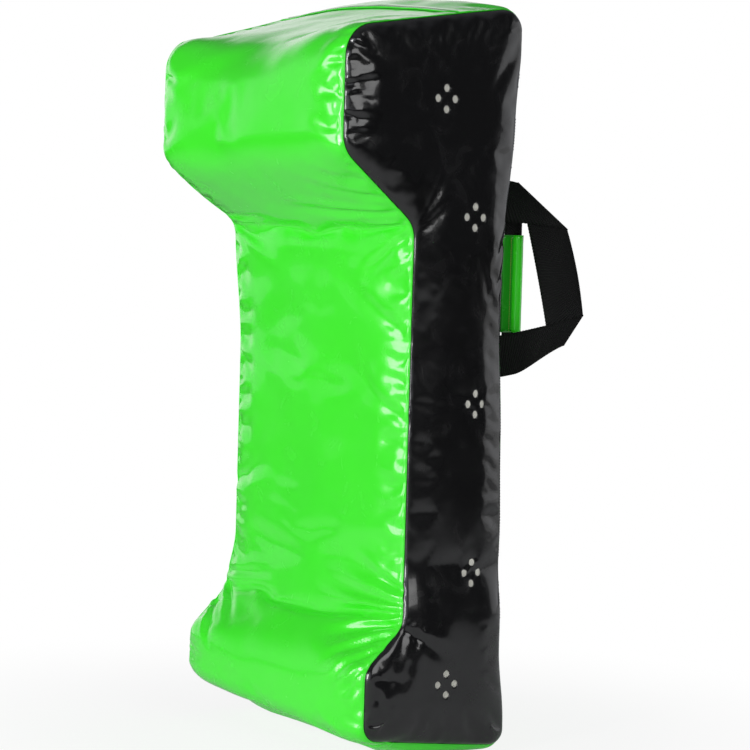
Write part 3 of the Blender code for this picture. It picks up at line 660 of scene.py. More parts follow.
def settled(skin):
    """The skin as its soft filling and its seams set it. The head is twisted: its top lies
    flatter than its crown and rises to the far back corner. The waist is drawn in, the back
    meets the side panels without a groove, and the far end of the toe is lifted."""
    x, y, z = skin.points.T
    on_wrap = skin.sides == 0
    roll = np.array([rolled(margin / WRAP_ROLL) for margin in skin.margins])
    twist = (FAR_TOP_LIFT + FAR_TOP_SLOPE * y) * smooth_step(-x, *TWIST_X)
    corner = FAR_CORNER_UP * smooth_step(-x, *CORNER_X) * smooth_step(-y, *CORNER_Y)
    ridge = TOP_RIDGE * bump(y, *RIDGE_Y) - TOP_SAG * linear_step(-y, *TOP_SAG_Y)
    near_back = smooth_step(x, *NEAR_X) * smooth_step(y, *NEAR_BACK_Y)
    flat = TOP_FLATTENED * roll * on_wrap * smooth_step(z, *TOP_Z) * (1 - TOP_KEPT_AT_BACK * near_back)
    top = (twist + corner + ridge * bump(x, *RIDGE_X) - flat) * smooth_step(z, *HIGH_Z)
    far_head = smooth_step(-x, *FAR_HEAD_X) * smooth_step(-y, *FAR_HEAD_Y) * smooth_step(z, *FAR_HEAD_Z)
    sag = far_head * smooth_step(-z, *FAR_SAG_Z) * FAR_HEAD_SAG
    toe = linear_step(-x, *TOE_X) * smooth_step(-y, *TOE_Y) * smooth_step(-z, *TOE_Z)

    front = smooth_step(BACK_Y - y, *FRONT_FROM_BACK)
    waist = smooth_step(WAIST_TOP_Z + WAIST_START_UP - z, 0.0, WAIST_TOP_EASE)
    waist *= smooth_step(z - WAIST_LOW_Z, 0.0, WAIST_LOW_EASE)
    back_edge = BACK_EDGE_FOOT * smooth_step(-z, *BACK_FOOT_Z)
    back_edge += BACK_EDGE_HEAD * smooth_step(z, *BACK_HEAD_Z)
    back_edge += BACK_EDGE_LOW * bump(z, *BACK_LOW_Z) - BACK_EDGE_WAIST * bump(z, *BACK_WAIST_Z)
    beside_back = 1 - smooth_step(skin.margins, 0, BACK_EDGE_MARGIN)
    at_edge = np.where(on_wrap, beside_back, smooth_step(y, *SIDE_BACK_Y))
    on_back = on_wrap * smooth_step(y, *ON_BACK_Y)
    eased_in = BACK_CROWN * (smooth_step(skin.margins, 0, BACK_ROLL_MARGIN) - roll) * on_back
    x = x * (1 - waist * WAIST_DRAWN_IN / HALF_WIDTH)
    y = y + waist * front * FRONT_DRAWN_IN + (1 - front) * at_edge * back_edge + eased_in
    y = y - far_head * FAR_HEAD_FORWARD
    z = z + top - sag + toe * FAR_TOE_LIFT
    return skin._replace(points=np.stack([x, y, z], axis=1))


def linear_step(values, low, high):
    return np.clip((values - low) / (high - low), 0, 1)


def smooth_step(values, low, high):
    share = linear_step(values, low, high)
    return share * share * (3 - 2 * share)


def bump(values, centre, below, above):
    """A smooth rise to 1 at the centre, over a width of its own on each side."""
    return smooth_step(values, centre - below, centre) * smooth_step(-values, -centre - above, -centre)


def skin_object(skin):
    """The skin as a mesh that carries its parts and its places along the seam."""
    mesh = bpy.data.meshes.new("skin")
    mesh.from_pydata(skin.points.tolist(), [], skin.faces)
    mesh.polygons.foreach_set("material_index", [PARTS.index(part) for part in skin.parts])
    turns = skin.places / SEAM_LENGTH * math.tau
    for name, values in (
        ("margin", skin.margins),
        ("turn_x", np.cos(turns)),
        ("turn_y", np.sin(turns)),
        ("side", skin.sides),
    ):
        mesh.attributes.new(name, "FLOAT", "POINT").data.foreach_set("value", values)
    sewn = mesh.attributes.new("crease_edge", "FLOAT", "EDGE")
    on_seam = skin.margins < 1e-6
    creases = [float(on_seam[a] and on_seam[b]) for a, b in (edge.vertices for edge in mesh.edges)]
    sewn.data.foreach_set("value", creases)
    return linked("skin", mesh)


def linked(name, data):
    """A new object in the scene."""
    obj = bpy.data.objects.new(name, data)
    bpy.context.scene.collection.objects.link(obj)
    return obj


def modified(obj, kind, **settings):
    """Gives an object a modifier with these settings."""
    modifier = obj.modifiers.new(kind.lower(), kind)
    for name, value in settings.items():
        setattr(modifier, name, value)


def read_vectors(mesh, name):
    """A vector of each of a mesh's vertices, such as its place."""
    values = np.zeros(len(mesh.vertices) * 3, np.float32)
    mesh.vertices.foreach_get(name, values)
    return values.reshape(-1, 3).astype(float)


def divided(skin):
    """The skin after one smooth subdivision."""
    obj = skin_object(skin)
    modified(obj, "SUBSURF", levels=1, render_levels=1)
    apply_modifiers(obj)
    mesh = obj.data

    def read(name):
        values = np.zeros(len(mesh.vertices), np.float32)
        mesh.attributes[name].data.foreach_get("value", values)
        return values.astype(float)

    faces = [list(polygon.vertices) for polygon in mesh.polygons]
    parts = [PARTS[polygon.material_index] for polygon in mesh.polygons]
    places = np.arctan2(read("turn_y"), read("turn_x")) % math.tau / math.tau * SEAM_LENGTH
    made = Skin(read_vectors(mesh, "co"), faces, parts, read("margin"), places, read("side"))
    bpy.data.objects.remove(obj)
    bpy.data.meshes.remove(mesh)
    return made


def skin_normals(skin):
    mesh = bpy.data.meshes.new("normals")
    mesh.from_pydata(skin.points.tolist(), [], skin.faces)
    found = read_vectors(mesh, "normal")
    bpy.data.meshes.remove(mesh)
    return found


def apply_modifiers(obj):
    bpy.context.view_layer.update()
    shape = obj.evaluated_get(bpy.context.evaluated_depsgraph_get())
    mesh = bpy.data.meshes.new_from_object(shape)
    obj.modifiers.clear()
    obj.data = mesh


def free_share(skin):
    """How free the skin is to wrinkle: not at all where it lies on the floor, or where the zip
    and the patches are sewn on."""
    x, y, z = skin.points.T
    free = np.ones(len(x))
    back = y > BACK_Y + BACK_CROWN / 2
    zip_x = smooth_step(np.abs(x), *ZIP_EASES_X)
    zip_z = smooth_step(ZIP_LOW_Z - z, *ZIP_EASES_Z) + smooth_step(z - ZIP_HIGH_Z, *ZIP_EASES_Z)
    free = np.where(back, np.minimum(free, np.maximum(zip_x, np.clip(zip_z, 0, 1))), free)
    for patch_z in (STRAP_UPPER_Z, STRAP_LOWER_Z):
        aside = smooth_step(np.abs(np.abs(x) - PATCH_X), *PATCH_EASES_X)
        above = smooth_step(np.abs(z - patch_z), *PATCH_EASES_Z)
        free = np.where(back, np.minimum(free, np.maximum(aside, above)), free)
    return free * smooth_step(z, *FLOOR_EASES_Z)


def blown_up(skin):
    """The skin as cloth under pressure. Its seams and sewn places hold still, and the fabric
    beside the seams is longer than they are, so it gathers there."""
    free = free_share(skin)
    obj = skin_object(skin)
    held = obj.vertex_groups.new(name="held")
    cut_short = obj.vertex_groups.new(name="cut_short")
    pulls = seam_pulls(skin)
    clear_of_seam = smooth_step(skin.margins, *SLACK_COMES)
    slack = clear_of_seam * (1 - smooth_step(skin.margins, *SLACK_GOES))
    for i, (free_here, slack_here) in enumerate(zip(free, slack * pulls)):
        on_seam = skin.margins[i] < 1e-6
        held.add([i], 1.0 if on_seam or free_here < LEAST_FREE else LOOSE_HOLD, "REPLACE")
        cut_short.add([i], 1.0 - float(slack_here), "REPLACE")
    cloth = obj.modifiers.new("cloth", "CLOTH")
    for name, value in CLOTH.items():
        setattr(cloth.settings, name, value)
    cloth.settings.effector_weights.gravity = 0
    cloth.collision_settings.use_collision = False
    for step in range(1, CLOTH_STEPS + 1):
        bpy.context.scene.frame_set(step)
    shape = obj.evaluated_get(bpy.context.evaluated_depsgraph_get())
    moved = read_vectors(shape.data, "co") - skin.points
    mesh = obj.data
    bpy.data.objects.remove(obj)
    bpy.data.meshes.remove(mesh)
    bpy.context.scene.frame_set(1)
    moved -= SWELLING_LEFT_OUT * smoothed(moved, skin.faces, SMOOTHING_STEPS)
    far = np.linalg.norm(moved, axis=1)
    cap = MOST_BLOWN * np.tanh(far / MOST_BLOWN) / np.maximum(far, 1e-9)
    print(f"cloth moved {far.mean() * 1000:.2f} mm on average, {far.max() * 1000:.2f} mm at most")
    keep = np.minimum(free, clear_of_seam)
    return skin._replace(points=skin.points + moved * (cap * keep)[:, None])


def smoothed(values, faces, steps):
    """Values at a mesh's points, each drawn to the mean of its neighbours again and again."""
    pairs = {(min(a, b), max(a, b)) for face in faces for a, b in zip(face, face[1:] + face[:1])}
    low, high = np.array(sorted(pairs)).T
    count = len(values)
    degree = np.bincount(low, minlength=count) + np.bincount(high, minlength=count)
    for _ in range(steps):
        total = np.stack([
            np.bincount(low, column[high], count) + np.bincount(high, column[low], count)
            for column in values.T
        ], axis=1)
        values = 0.5 * values + 0.5 * total / degree[:, None]
    return values


def seam_pulls(skin):
    wrap = np.interp(skin.places, SEAM_PLACES, WRAP_PULLS)
    panel = np.interp(skin.places, SEAM_PLACES, PANEL_PULLS)
    return np.where(skin.sides == 0, wrap, panel)


def pucker_row(seed):
    """Where one seam gathers the fabric, at uneven steps along it."""
    draw = random.Random(seed)
    made, place = [], 0.0
    while place < SEAM_LENGTH:
        reach = draw.uniform(*PUCKER_REACH)
        lean = draw.uniform(*PUCKER_LEAN)
        made.append(Pucker(place, lean, reach, draw.uniform(*PUCKER_STRENGTH)))
        place += draw.uniform(*PUCKER_STEP)
    return made


def pucker_height(places, margins, row, depth):
    """Valleys that start at the seam's gathers and widen as they run out over the panel."""
    height = np.zeros(len(places))
    for pucker in row:
        along = (places - pucker.place + SEAM_LENGTH / 2) % SEAM_LENGTH - SEAM_LENGTH / 2
        off = (along - pucker.lean * margins) / (PUCKER_WIDTH + PUCKER_WIDENS * margins)
        fade = np.exp(-((margins / pucker.reach) ** 1.4)) * (1 - np.exp(-margins / PUCKER_START))
        height -= pucker.strength * fade * np.exp(-off * off)
    return height * depth


def fold_height(u, v, fold):
    """A fold with its valley on the line and a ridge beside it, which dies out at its end."""
    start, end = np.array(fold.start), np.array(fold.end)
    way = end - start
    length = float(np.hypot(*way))
    way = way / length
    along = ((u - start[0]) * way[0] + (v - start[1]) * way[1]) / length
    off = (v - start[1]) * way[0] - (u - start[0]) * way[1]
    width = fold.width * (FOLD_NARROW + FOLD_WIDENS * np.clip(along, 0, 1))
    fade = smooth_step(along, *FOLD_COMES) * (1 - smooth_step(along, *FOLD_GOES))
    valley = np.exp(-((off / width) ** 2))
    ridge = np.exp(-((off / width - RIDGE_ASIDE) ** 2))
    return fold.depth * fade * (RIDGE_SHARE * ridge - valley)


def front_place(z):
    """How far along the outline the front reaches a height."""
    rows = rows_between("lap_edge", "front_end")
    heights = [-SEAM[r].point.y for r in rows]
    return float(np.interp(-z, heights, [SEAM_PLACES[r] for r in rows]))


# Folds of the front cover, from and to (x, z): they fan out of the recess's corners
FRONT_FOLDS = (
    Fold((0.190, 0.655), (-0.030, 0.668), 0.0085, 0.0042),
    Fold((0.192, 0.672), (0.040, 0.700), 0.0090, 0.0013),
    Fold((0.188, 0.640), (0.030, 0.628), 0.0090, 0.0045),
    Fold((0.192, 0.690), (0.090, 0.712), 0.0080, 0.0008),
    Fold((0.190, 0.628), (0.085, 0.560), 0.0090, 0.0022),
    Fold((0.190, 0.500), (0.040, 0.590), 0.0130, 0.0018),
    Fold((0.190, 0.400), (0.060, 0.475), 0.0130, 0.0016),
    Fold((0.192, 0.205), (0.085, 0.235), 0.0080, 0.0032),
    Fold((0.192, 0.190), (0.020, 0.205), 0.0090, 0.0040),
    Fold((0.192, 0.180), (0.050, 0.168), 0.0080, 0.0045),
    Fold((0.192, 0.168), (0.085, 0.135), 0.0070, 0.0042),
    Fold((0.194, 0.155), (0.105, 0.105), 0.0060, 0.0036),
    Fold((0.196, 0.140), (0.125, 0.080), 0.0055, 0.0030),
    Fold((0.196, 0.120), (0.150, 0.070), 0.0050, 0.0024),
    Fold((-0.190, 0.650), (-0.040, 0.655), 0.0080, 0.0036),
    Fold((-0.190, 0.636), (-0.070, 0.600), 0.0085, 0.0030),
    Fold((-0.192, 0.670), (-0.110, 0.700), 0.0080, 0.0010),
    Fold((-0.190, 0.300), (-0.080, 0.345), 0.0120, 0.0016),
    Fold((-0.192, 0.186), (-0.070, 0.196), 0.0080, 0.0034),
    Fold((-0.192, 0.172), (-0.100, 0.120), 0.0075, 0.0040),
    Fold((-0.194, 0.150), (-0.120, 0.085), 0.0060, 0.0034),
)

# Folds of the side panels, from and to (y, z)
PANEL_FOLDS = (
    Fold((-0.163, 0.848), (-0.120, 0.832), 0.0060, 0.0020),
    Fold((-0.163, 0.798), (-0.108, 0.805), 0.0070, 0.0023),
    Fold((-0.163, 0.764), (-0.114, 0.752), 0.0065, 0.0020),
    Fold((-0.160, 0.740), (-0.118, 0.748), 0.0055, 0.0015),
    Fold((-0.050, 0.172), (-0.108, 0.030), 0.0105, 0.0017),
    Fold((-0.036, 0.166), (-0.088, 0.030), 0.0110, 0.0013),
    Fold((-0.098, 0.090), (-0.070, 0.022), 0.0080, 0.0012),
    Fold((-0.055, 0.160), (0.010, 0.118), 0.0090, 0.0020),
    Fold((-0.052, 0.640), (-0.010, 0.730), 0.0080, 0.0013),
    Fold((-0.050, 0.632), (0.012, 0.690), 0.0080, 0.0011),
    Fold((0.080, 0.628), (0.046, 0.572), 0.0070, 0.0013),
    Fold((0.082, 0.588), (0.052, 0.548), 0.0060, 0.0009),
)


def wrinkled(skin):
    """The skin with its gathers, its folds and its slack."""
    free = free_share(skin)
    normals = skin_normals(skin)
    x, y, z = skin.points.T
    height = np.zeros(len(x))
    on_wrap = skin.sides == 0
    for side, word in SIDES:
        row = pucker_row(PUCKER_SEEDS[word])
        gathers = pucker_height(skin.places, skin.margins, row, PUCKER_DEPTH) * seam_pulls(skin)
        height += np.where(on_wrap & (side * x > 0), gathers, 0)
        on_panel = skin.sides * side > 0
        height += np.where(on_panel, gathers * PANEL_SHARE, 0)
        for fold in PANEL_FOLDS:
            height += np.where(on_panel, fold_height(y, z, fold), 0)
    on_front = on_wrap & (y < BACK_Y - 0.08)
    for fold in FRONT_FOLDS:
        start = (fold.start[0], front_place(fold.start[1]))
        end = (fold.end[0], front_place(fold.end[1]))
        laid = Fold(start, end, fold.width, fold.depth)
        height += np.where(on_front, fold_height(x, skin.places, laid), 0)
    slack = [
        SLACK_DEPTH * noise.noise(Vector(p) * 9.0)
        + FINE_SLACK_DEPTH * noise.noise(Vector(p) * 24.0 + Vector((5, 1, 3)))
        for p in skin.points
    ]
    calm = np.where(on_wrap, 1.0, 0.45)
    height += np.array(slack) * calm * smooth_step(skin.margins, 0.0, 0.030)
    height *= free
    height -= crosswise_seams(skin)
    points = skin.points + normals * height[:, None]
    points[:, 2] = np.maximum(points[:, 2], 0.0)
    return skin._replace(points=points)


def crosswise_seams(skin):
    """How far the wrap is drawn in at the two seams that cross it under and behind the foot."""
    drawn = np.zeros(len(skin.points))
    for name in ("front_end", "base_end"):
        off = skin.places - SEAM_PLACES[MARKS[name]]
        near = np.exp(-((off / END_TUCK_WIDTH) ** 2)) * smooth_step(skin.points[:, 2], 0.0005, 0.006)
        drawn += np.where(skin.sides == 0, near, 0) * END_TUCK
    return drawn


def sewn_panel(name, skin, points, keep, colour):
    """One panel of the skin, with the cut edge of its fabric turned in."""
    faces = [face for face, part in zip(skin.faces, skin.parts) if part in keep]
    used = sorted({i for face in faces for i in face})
    rank = {i: k for k, i in enumerate(used)}
    mesh = bpy.data.meshes.new(name)
    mesh.from_pydata([points[i].tolist() for i in used], [], [[rank[i] for i in f] for f in faces])
    layer = mesh.uv_layers.new(name="cloth")
    side = "right" in keep or "left" in keep
    flat = []
    for face in faces:
        first = skin.places[face[0]]
        for i in face:
            place = skin.places[i]
            turned = place + SEAM_LENGTH * round((first - place) / SEAM_LENGTH)
            flat += [points[i][1], points[i][2]] if side else [points[i][0], turned]
    layer.data.foreach_set("uv", flat)
    mesh.materials.append(colour)
    mesh.shade_smooth()
    obj = linked(name + "_sewn", mesh)
    modified(obj, "SOLIDIFY", thickness=COVER_T, offset=-1, use_rim_only=True)
    apply_modifiers(obj)
    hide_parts(name)
    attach(obj, "pad")
    return obj


def dressed_cover(green, black):
    """The skin, cut into the panels that it is sewn from."""
    skin = settled(bare_skin())
    skin = blown_up(skin)
    skin = wrinkled(divided(skin))
    over = skin.points + skin_normals(skin) * (lap_height(skin) * LAP_LIFT)[:, None]
    panels = {}
    for name, keep in PANELS.items():
        points = over if name == "back_cover" else skin.points
        panels[name] = sewn_panel(name, skin, points, keep, black if "side" in name else green)
    return skin, panels


def lap_height(skin):
    """How far the back cover rises over the front cover where it laps it."""
    start, full = SEAM_PLACES[MARKS["lap_ramp"]], SEAM_PLACES[MARKS["lap_under"]]
    end = SEAM_PLACES[MARKS["lap_edge"]]
    rise = smooth_step(skin.places, start, full) * (skin.places < end + ROW_STEP)
    return np.where(skin.sides == 0, rise, 0)


def seam_path(skin, side):
    """The side seam's points on the finished skin, in order."""
    on_seam = (skin.margins < 1e-4) & (skin.points[:, 0] * side > 0)
    numbers = np.nonzero(on_seam)[0]
    numbers = numbers[np.argsort(skin.places[numbers])]
    return [Vector(skin.points[i]) for i in numbers]


def finished(name, bm, material, body="pad", node=None, thickness=0.0, offset=0, trim=None, sharp=True):
    """A mesh piece that rides on a body. A sheet is given its thickness, trim is its second
    material, and a piece with a node stands in for that node."""
    bmesh.ops.recalc_face_normals(bm, faces=bm.faces)
    mesh = bpy.data.meshes.new(name)
    bm.to_mesh(mesh)
    bm.free()
    mesh.materials.append(material)
    if trim:
        mesh.materials.append(trim)
    mesh.shade_smooth()
    if sharp:
        mesh.set_sharp_from_angle(angle=SHARP_ANGLE)
    piece = linked(name, mesh)
    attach(piece, body)
    if thickness:
        modified(piece, "SOLIDIFY", thickness=thickness, offset=offset)
        apply_modifiers(piece)
    if node:
        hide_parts(node)
    return piece


def add_ring(bm, centre, across, up, radius, sides, first=0.0):
    """Vertices round a centre, in the plane of two directions."""
    turns = [math.tau * (k + first) / sides for k in range(sides)]
    spokes = [across * math.cos(a) + up * math.sin(a) for a in turns]
    return [bm.verts.new(centre + spoke * radius) for spoke in spokes]


def bridge(bm, rings):
    """Faces from each ring of vertices to the next."""
    for ring, after in zip(rings, rings[1:]):
        for k in range(len(ring)):
            j = (k + 1) % len(ring)
            bm.faces.new([ring[k], ring[j], after[j], after[k]])


def close_ends(bm, rings):
    bm.faces.new(rings[0])
    bm.faces.new(rings[-1][::-1])


def add_sheet(bm, grid, laid=None):
    """Faces over lines of vertices. Laid gives the UV of a line and column."""
    layer = bm.loops.layers.uv.new("cloth") if laid else None
    for r, (line, after) in enumerate(zip(grid, grid[1:])):
        for k in range(len(line) - 1):
            face = bm.faces.new([line[k], line[k + 1], after[k + 1], after[k]])
            if laid:
                for loop, (i, j) in zip(face.loops, ((0, 0), (0, 1), (1, 1), (1, 0))):
                    loop[layer].uv = laid(r + i, k + j)


def add_bead(bm, path, radius):
    """A round bead along a closed path that runs across X."""
    rings = []
    for before, point, after in zip(path[-1:] + path[:-1], path, path[1:] + path[:1]):
        way = (after - before).normalized()
        across = way.cross(Vector((1, 0, 0))).normalized()
        rings.append(add_ring(bm, point, across, across.cross(way), radius, BEAD_SIDES))
    bridge(bm, rings + rings[:1])


def add_stitch(bm, start, end, radius, out):
    """One thread stitch: a short bar with its ends sunk in the fabric."""
    way = (end - start).normalized()
    across = way.cross(out).normalized()
    up = across.cross(way)
    rings = []
    for share, thick, lift in STITCH_SHAPE:
        centre = start.lerp(end, share) + out * radius * lift
        rings.append(add_ring(bm, centre, across, up, radius * thick, 4, 0.5))
    bridge(bm, rings)


def surface_of(obj):
    """A search tree of a finished piece."""
    bm = bmesh.new()
    bm.from_mesh(obj.data)
    tree = BVHTree.FromBMesh(bm)
    bm.free()
    return tree


def walk(path, pitch):
    """Places at even steps along a path, each with its direction."""
    due = 0.0
    travelled = 0.0
    for a, b in zip(path, path[1:]):
        step = (b - a).length
        while step > 0 and due <= travelled + step:
            yield a.lerp(b, (due - travelled) / step), (b - a) / step
            due += pitch
        travelled += step


def stitch_path(bm, path, out, tree=None, size=COVER_STITCH):
    """Stitches along a path, laid on the tree's surface where there is one."""
    pitch, length, radius = size
    for place, way in walk(path, pitch):
        normal = out
        if tree is not None:
            place, normal, _, _ = tree.find_nearest(place)
            if normal.dot(out) < 0:
                normal = -normal
        add_stitch(bm, place - way * length / 2, place + way * length / 2, radius, normal)


def seam_details(skin, panels, green, thread):
    """The turned lip of the wrap along each side seam, and the thread beside it. The lip
    stands less proud of the back, where it would show beside the black side."""
    normals = [Vector((0, row.normal.x, row.normal.y)) for row in SEAM]
    for side, word in SIDES:
        path = seam_path(skin, side)
        outward = [nearest_normal(point, normals) for point in path]
        bm = bmesh.new()
        lip = []
        for point, normal in zip(path, outward):
            to_back = max(normal.y, 0.0)
            aside = Vector((side * LIP_ASIDE, 0, 0)) * (1 - to_back)
            lip.append(point + (normal * (LIP_PROUD - LIP_SUNK * to_back) + aside) * LIP_R)
        add_bead(bm, lip, LIP_R)
        finished("seam_lip_" + word, bm, green)
        bm = bmesh.new()
        inner = [point - normal * THREAD_INSET for point, normal in zip(path, outward)]
        tree = surface_of(panels["side_panel_" + word])
        stitch_path(bm, inner + inner[:1], Vector((side, 0, 0)), tree)
        finished("seam_stitches_" + word, bm, thread)


def nearest_normal(point, normals):
    far = np.hypot(SEAM_POINTS[:, 0] - point.y, SEAM_POINTS[:, 1] - point.z)
    return normals[int(np.argmin(far))]


def back_stitches(panels, thread):
    """Rows of thread along the lap on the top and beside the zip."""
    tree = surface_of(panels["back_cover"])
    edge = SEAM[MARKS["lap_edge"]].point.lerp(SEAM[MARKS["lap_under"]].point, LAP_STITCH_SHARE)
    bm = bmesh.new()
    places = np.linspace(-LAP_STITCH_HALF, LAP_STITCH_HALF, 60)
    across = [Vector((x, edge.x, edge.y + LAP_STITCH_UP)) for x in places]
    stitch_path(bm, across, Vector((0, 0, 1)), tree, LAP_STITCH)
    finished("lap_stitches", bm, thread)
    bm = bmesh.new()
    low, high = ZIP_LOW_Z - ZIP_STITCH_END, ZIP_HIGH_Z + ZIP_STITCH_END
    x = ZIP_SLOT / 2 + ZIP_STITCH_ASIDE
    corners = [(-x, low), (x, low), (x, high), (-x, high), (-x, low)]
    stitch_lines(bm, corners, 1, BACK_FACE_Y, tree, COVER_STITCH)
    finished("zip_stitches", bm, thread)


def stitch_lines(bm, corners, side, y, tree, size):
    """Stitches from corner to corner on the back, each as its distance from the middle and
    its height."""
    for a, b in zip(corners, corners[1:]):
        path = [Vector((side * across, y, z)) for across, z in (a, b)]
        stitch_path(bm, path, Vector((0, 1, 0)), tree, size)


def vent_meshes(panels, material):
    """A patch of woven mesh behind each group of vent holes, which follows the panel."""
    steps = [(k / MESH_CELLS - 0.5) * 2 * MESH_HALF for k in range(MESH_CELLS + 1)]
    for side, word in SIDES:
        tree = surface_of(panels["side_panel_" + word])
        for number, (from_back, z) in enumerate(VENTS, 1):
            bm = bmesh.new()
            grid = []
            for y in (BACK_Y - from_back + step for step in steps):
                line = []
                for up in (z + step for step in steps):
                    hit, _, _, _ = tree.find_nearest(Vector((side * VENT_X, y, up)))
                    line.append(bm.verts.new((hit.x - side * MESH_BEHIND, y, up)))
                grid.append(line)
            add_sheet(bm, grid)
            for _ in range(MESH_SMOOTHINGS):
                bmesh.ops.smooth_vert(bm, verts=bm.verts, factor=0.5, use_axis_x=True)
            name = f"vent_mesh_{word}_{number}"
            finished(name + "_woven", bm, material, node=name, thickness=MESH_T)


def foam_blocks(material):
    """The foam inside: a spine with a head block and a foot block, clear of the skin."""
    outline = [row.point for row in seam_outline(FOAM_INSET)]
    front_y = BACK_Y - WAIST_DEPTH + FOAM_INSET
    half = HALF_WIDTH - WAIST_DRAWN_IN - FOAM_FROM_SIDES
    in_front = ((0, front_y - FOAM_GAP, 0), (0, 1, 0))
    blocks = {
        "foam_spine": [((0, front_y, 0), (0, -1, 0))],
        "foam_head": [in_front, ((0, 0, WAIST_MIDDLE_Z), (0, 0, -1))],
        "foam_foot": [in_front, ((0, 0, WAIST_MIDDLE_Z), (0, 0, 1))],
    }
    for name, cuts in blocks.items():
        bm = bmesh.new()
        ends = [[bm.verts.new((x, point.x, point.y)) for point in outline] for x in (-half, half)]
        close_ends(bm, ends)
        bridge(bm, ends)
        bmesh.ops.recalc_face_normals(bm, faces=bm.faces)
        for place, normal in cuts:
            everything = bm.verts[:] + bm.edges[:] + bm.faces[:]
            cut = bmesh.ops.bisect_plane(
                bm, geom=everything, plane_co=place, plane_no=normal, clear_outer=True
            )
            edges = [item for item in cut["geom_cut"] if isinstance(item, bmesh.types.BMEdge)]
            bmesh.ops.contextual_create(bm, geom=edges)
        piece = finished(name + "_block", bm, material)
        modified(piece, "BEVEL", width=FOAM_EDGE, segments=2, angle_limit=SHARP_ANGLE)
        apply_modifiers(piece)
        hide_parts(name)


def folded_edges(width, places):
    """The two edges of a strip that runs through places and folds over at the inner ones,
    each as a list with one point for each place."""
    ways = [(b - a).normalized() for a, b in zip(places, places[1:])]
    half_height = [width / 2 / abs(way.x) for way in (ways[0], ways[-1])]
    outer = [places[0] + Vector((0, half_height[0]))]
    inner = [places[0] - Vector((0, half_height[0]))]
    for i in range(1, len(places) - 1):
        fold, across = fold_line(ways, i - 1)
        half = fold * (width / 2 / across)
        near, far = places[i] - half, places[i] + half
        if (near - outer[-1]).cross(ways[i - 1]) ** 2 > (far - outer[-1]).cross(ways[i - 1]) ** 2:
            near, far = far, near
        outer.append(near)
        inner.append(far)
    outer.append(places[-1] - Vector((0, half_height[1])))
    inner.append(places[-1] + Vector((0, half_height[1])))
    return outer, inner, ways


def fold_line(ways, k):
    """The direction of the fold after a stretch, and the sine of its angle to the stretch."""
    fold = (ways[k] + ways[k + 1]).normalized()
    return fold, abs(ways[k + 1].x * fold.y - ways[k + 1].y * fold.x)


def strip_rows(width, places, gap, bows, curl):
    """Rows across a folded strip: both edge points and the level off the hinge plane. Each
    stretch bows aside by its own amount, each fold is a tight half roll, and the outer edge
    curls in beside the last fold."""
    outer, inner, ways = folded_edges(width, places)
    turn_r = gap / 2
    last = len(ways) - 1
    rows = []
    for k, way in enumerate(ways):
        level = -gap if k % 2 else 0.0
        back_start = turn_r / fold_line(ways, k - 1)[1] if k else 0.0
        back_end = turn_r / fold_line(ways, k)[1] if k < last else 0.0
        a = [p + way * back_start for p in (outer[k], inner[k])]
        b = [p - way * back_end for p in (outer[k + 1], inner[k + 1])]
        length = ((a[0] + a[1]) / 2 - (b[0] + b[1]) / 2).length
        count = max(2, round(length / RIB_HALF))
        aside = Vector((-way.y, way.x)) * bows[k]
        for step in range(count + 1):
            share = step / count
            bow = aside * 4 * share * (1 - share)
            near, far = a[0].lerp(b[0], share) + bow, a[1].lerp(b[1], share) + bow
            rows.append((near.lerp(far, curl * curled(k - last, share)), far, level))
        if k < last:
            after = [p + ways[k + 1] * back_end for p in (outer[k + 1], inner[k + 1])]
            fold = (outer[k + 1] - inner[k + 1]).normalized()
            out = Vector((fold.y, -fold.x))
            out = out if out.dot(way) > 0 else -out
            drawn = curl if k == last - 1 else 0.0
            for step in range(1, FOLD_STEPS):
                angle = math.pi * step / FOLD_STEPS
                share = (1 - math.cos(angle)) / 2
                push = out * turn_r * math.sin(angle)
                near, far = (start.lerp(stop, share) + push for start, stop in zip(b, after))
                rows.append((near.lerp(far, drawn), far, level - (gap + 2 * level) * share))
    return rows


def curled(stretch, share):
    """How much of its full curl a strip has at a share of a stretch, which is counted from
    the last one: the curl comes in before the last fold and goes after it."""
    if stretch == -1:
        return float(smooth_step(share, *CURL_COMES))
    if stretch == 0:
        return 1 - float(smooth_step(share, *CURL_GOES))
    return 0.0


def webbing_strip(strip, side, word, material):
    """Folded webbing with raised ribs across it and looped edges."""
    hinge = Vector((side * strip.hinge_x, HINGE_Y, 0))
    turn = Matrix.Rotation(-side * strip.splay, 4, "Z")
    places = [Vector(place) for place in strip.places]
    rows = strip_rows(strip.width, places, WEBBING_T + FOLD_GAP, strip.bows, strip.curl)
    across_count = max(6, round(strip.width / WEBBING_STEP))
    bm = bmesh.new()
    grid, run = [], [0.0]
    for index, (outer, inner, level) in enumerate(rows):
        if index:
            before = rows[index - 1]
            middle = (outer + inner) / 2 - (before[0] + before[1]) / 2
            run.append(run[-1] + max(middle.length, abs(level - before[2])))
        rib, loop = (RIB_RISE, RIB_LOOP) if index % 2 else (0.0, 0.0)
        line = []
        for k in range(across_count + 1):
            share = k / across_count
            if share in (0.0, 1.0):
                share += (0.5 - share) * loop
            flat = outer.lerp(inner, share)
            sway = WEBBING_SWAY * noise.noise(Vector((flat.x * 30, flat.y * 30, index * 0.02)))
            point = Vector((side * (level - rib) + sway, flat.x, flat.y))
            line.append(bm.verts.new(turn @ point + hinge))
        grid.append(line)
    add_sheet(bm, grid, lambda r, k: (run[r], strip.width * k / across_count))
    name, node = f"{strip.node}_woven_{word}", f"{strip.node}_{word}"
    body = f"{strip.body}_{word}"
    finished(name, bm, material, body, node, WEBBING_T, sharp=False)


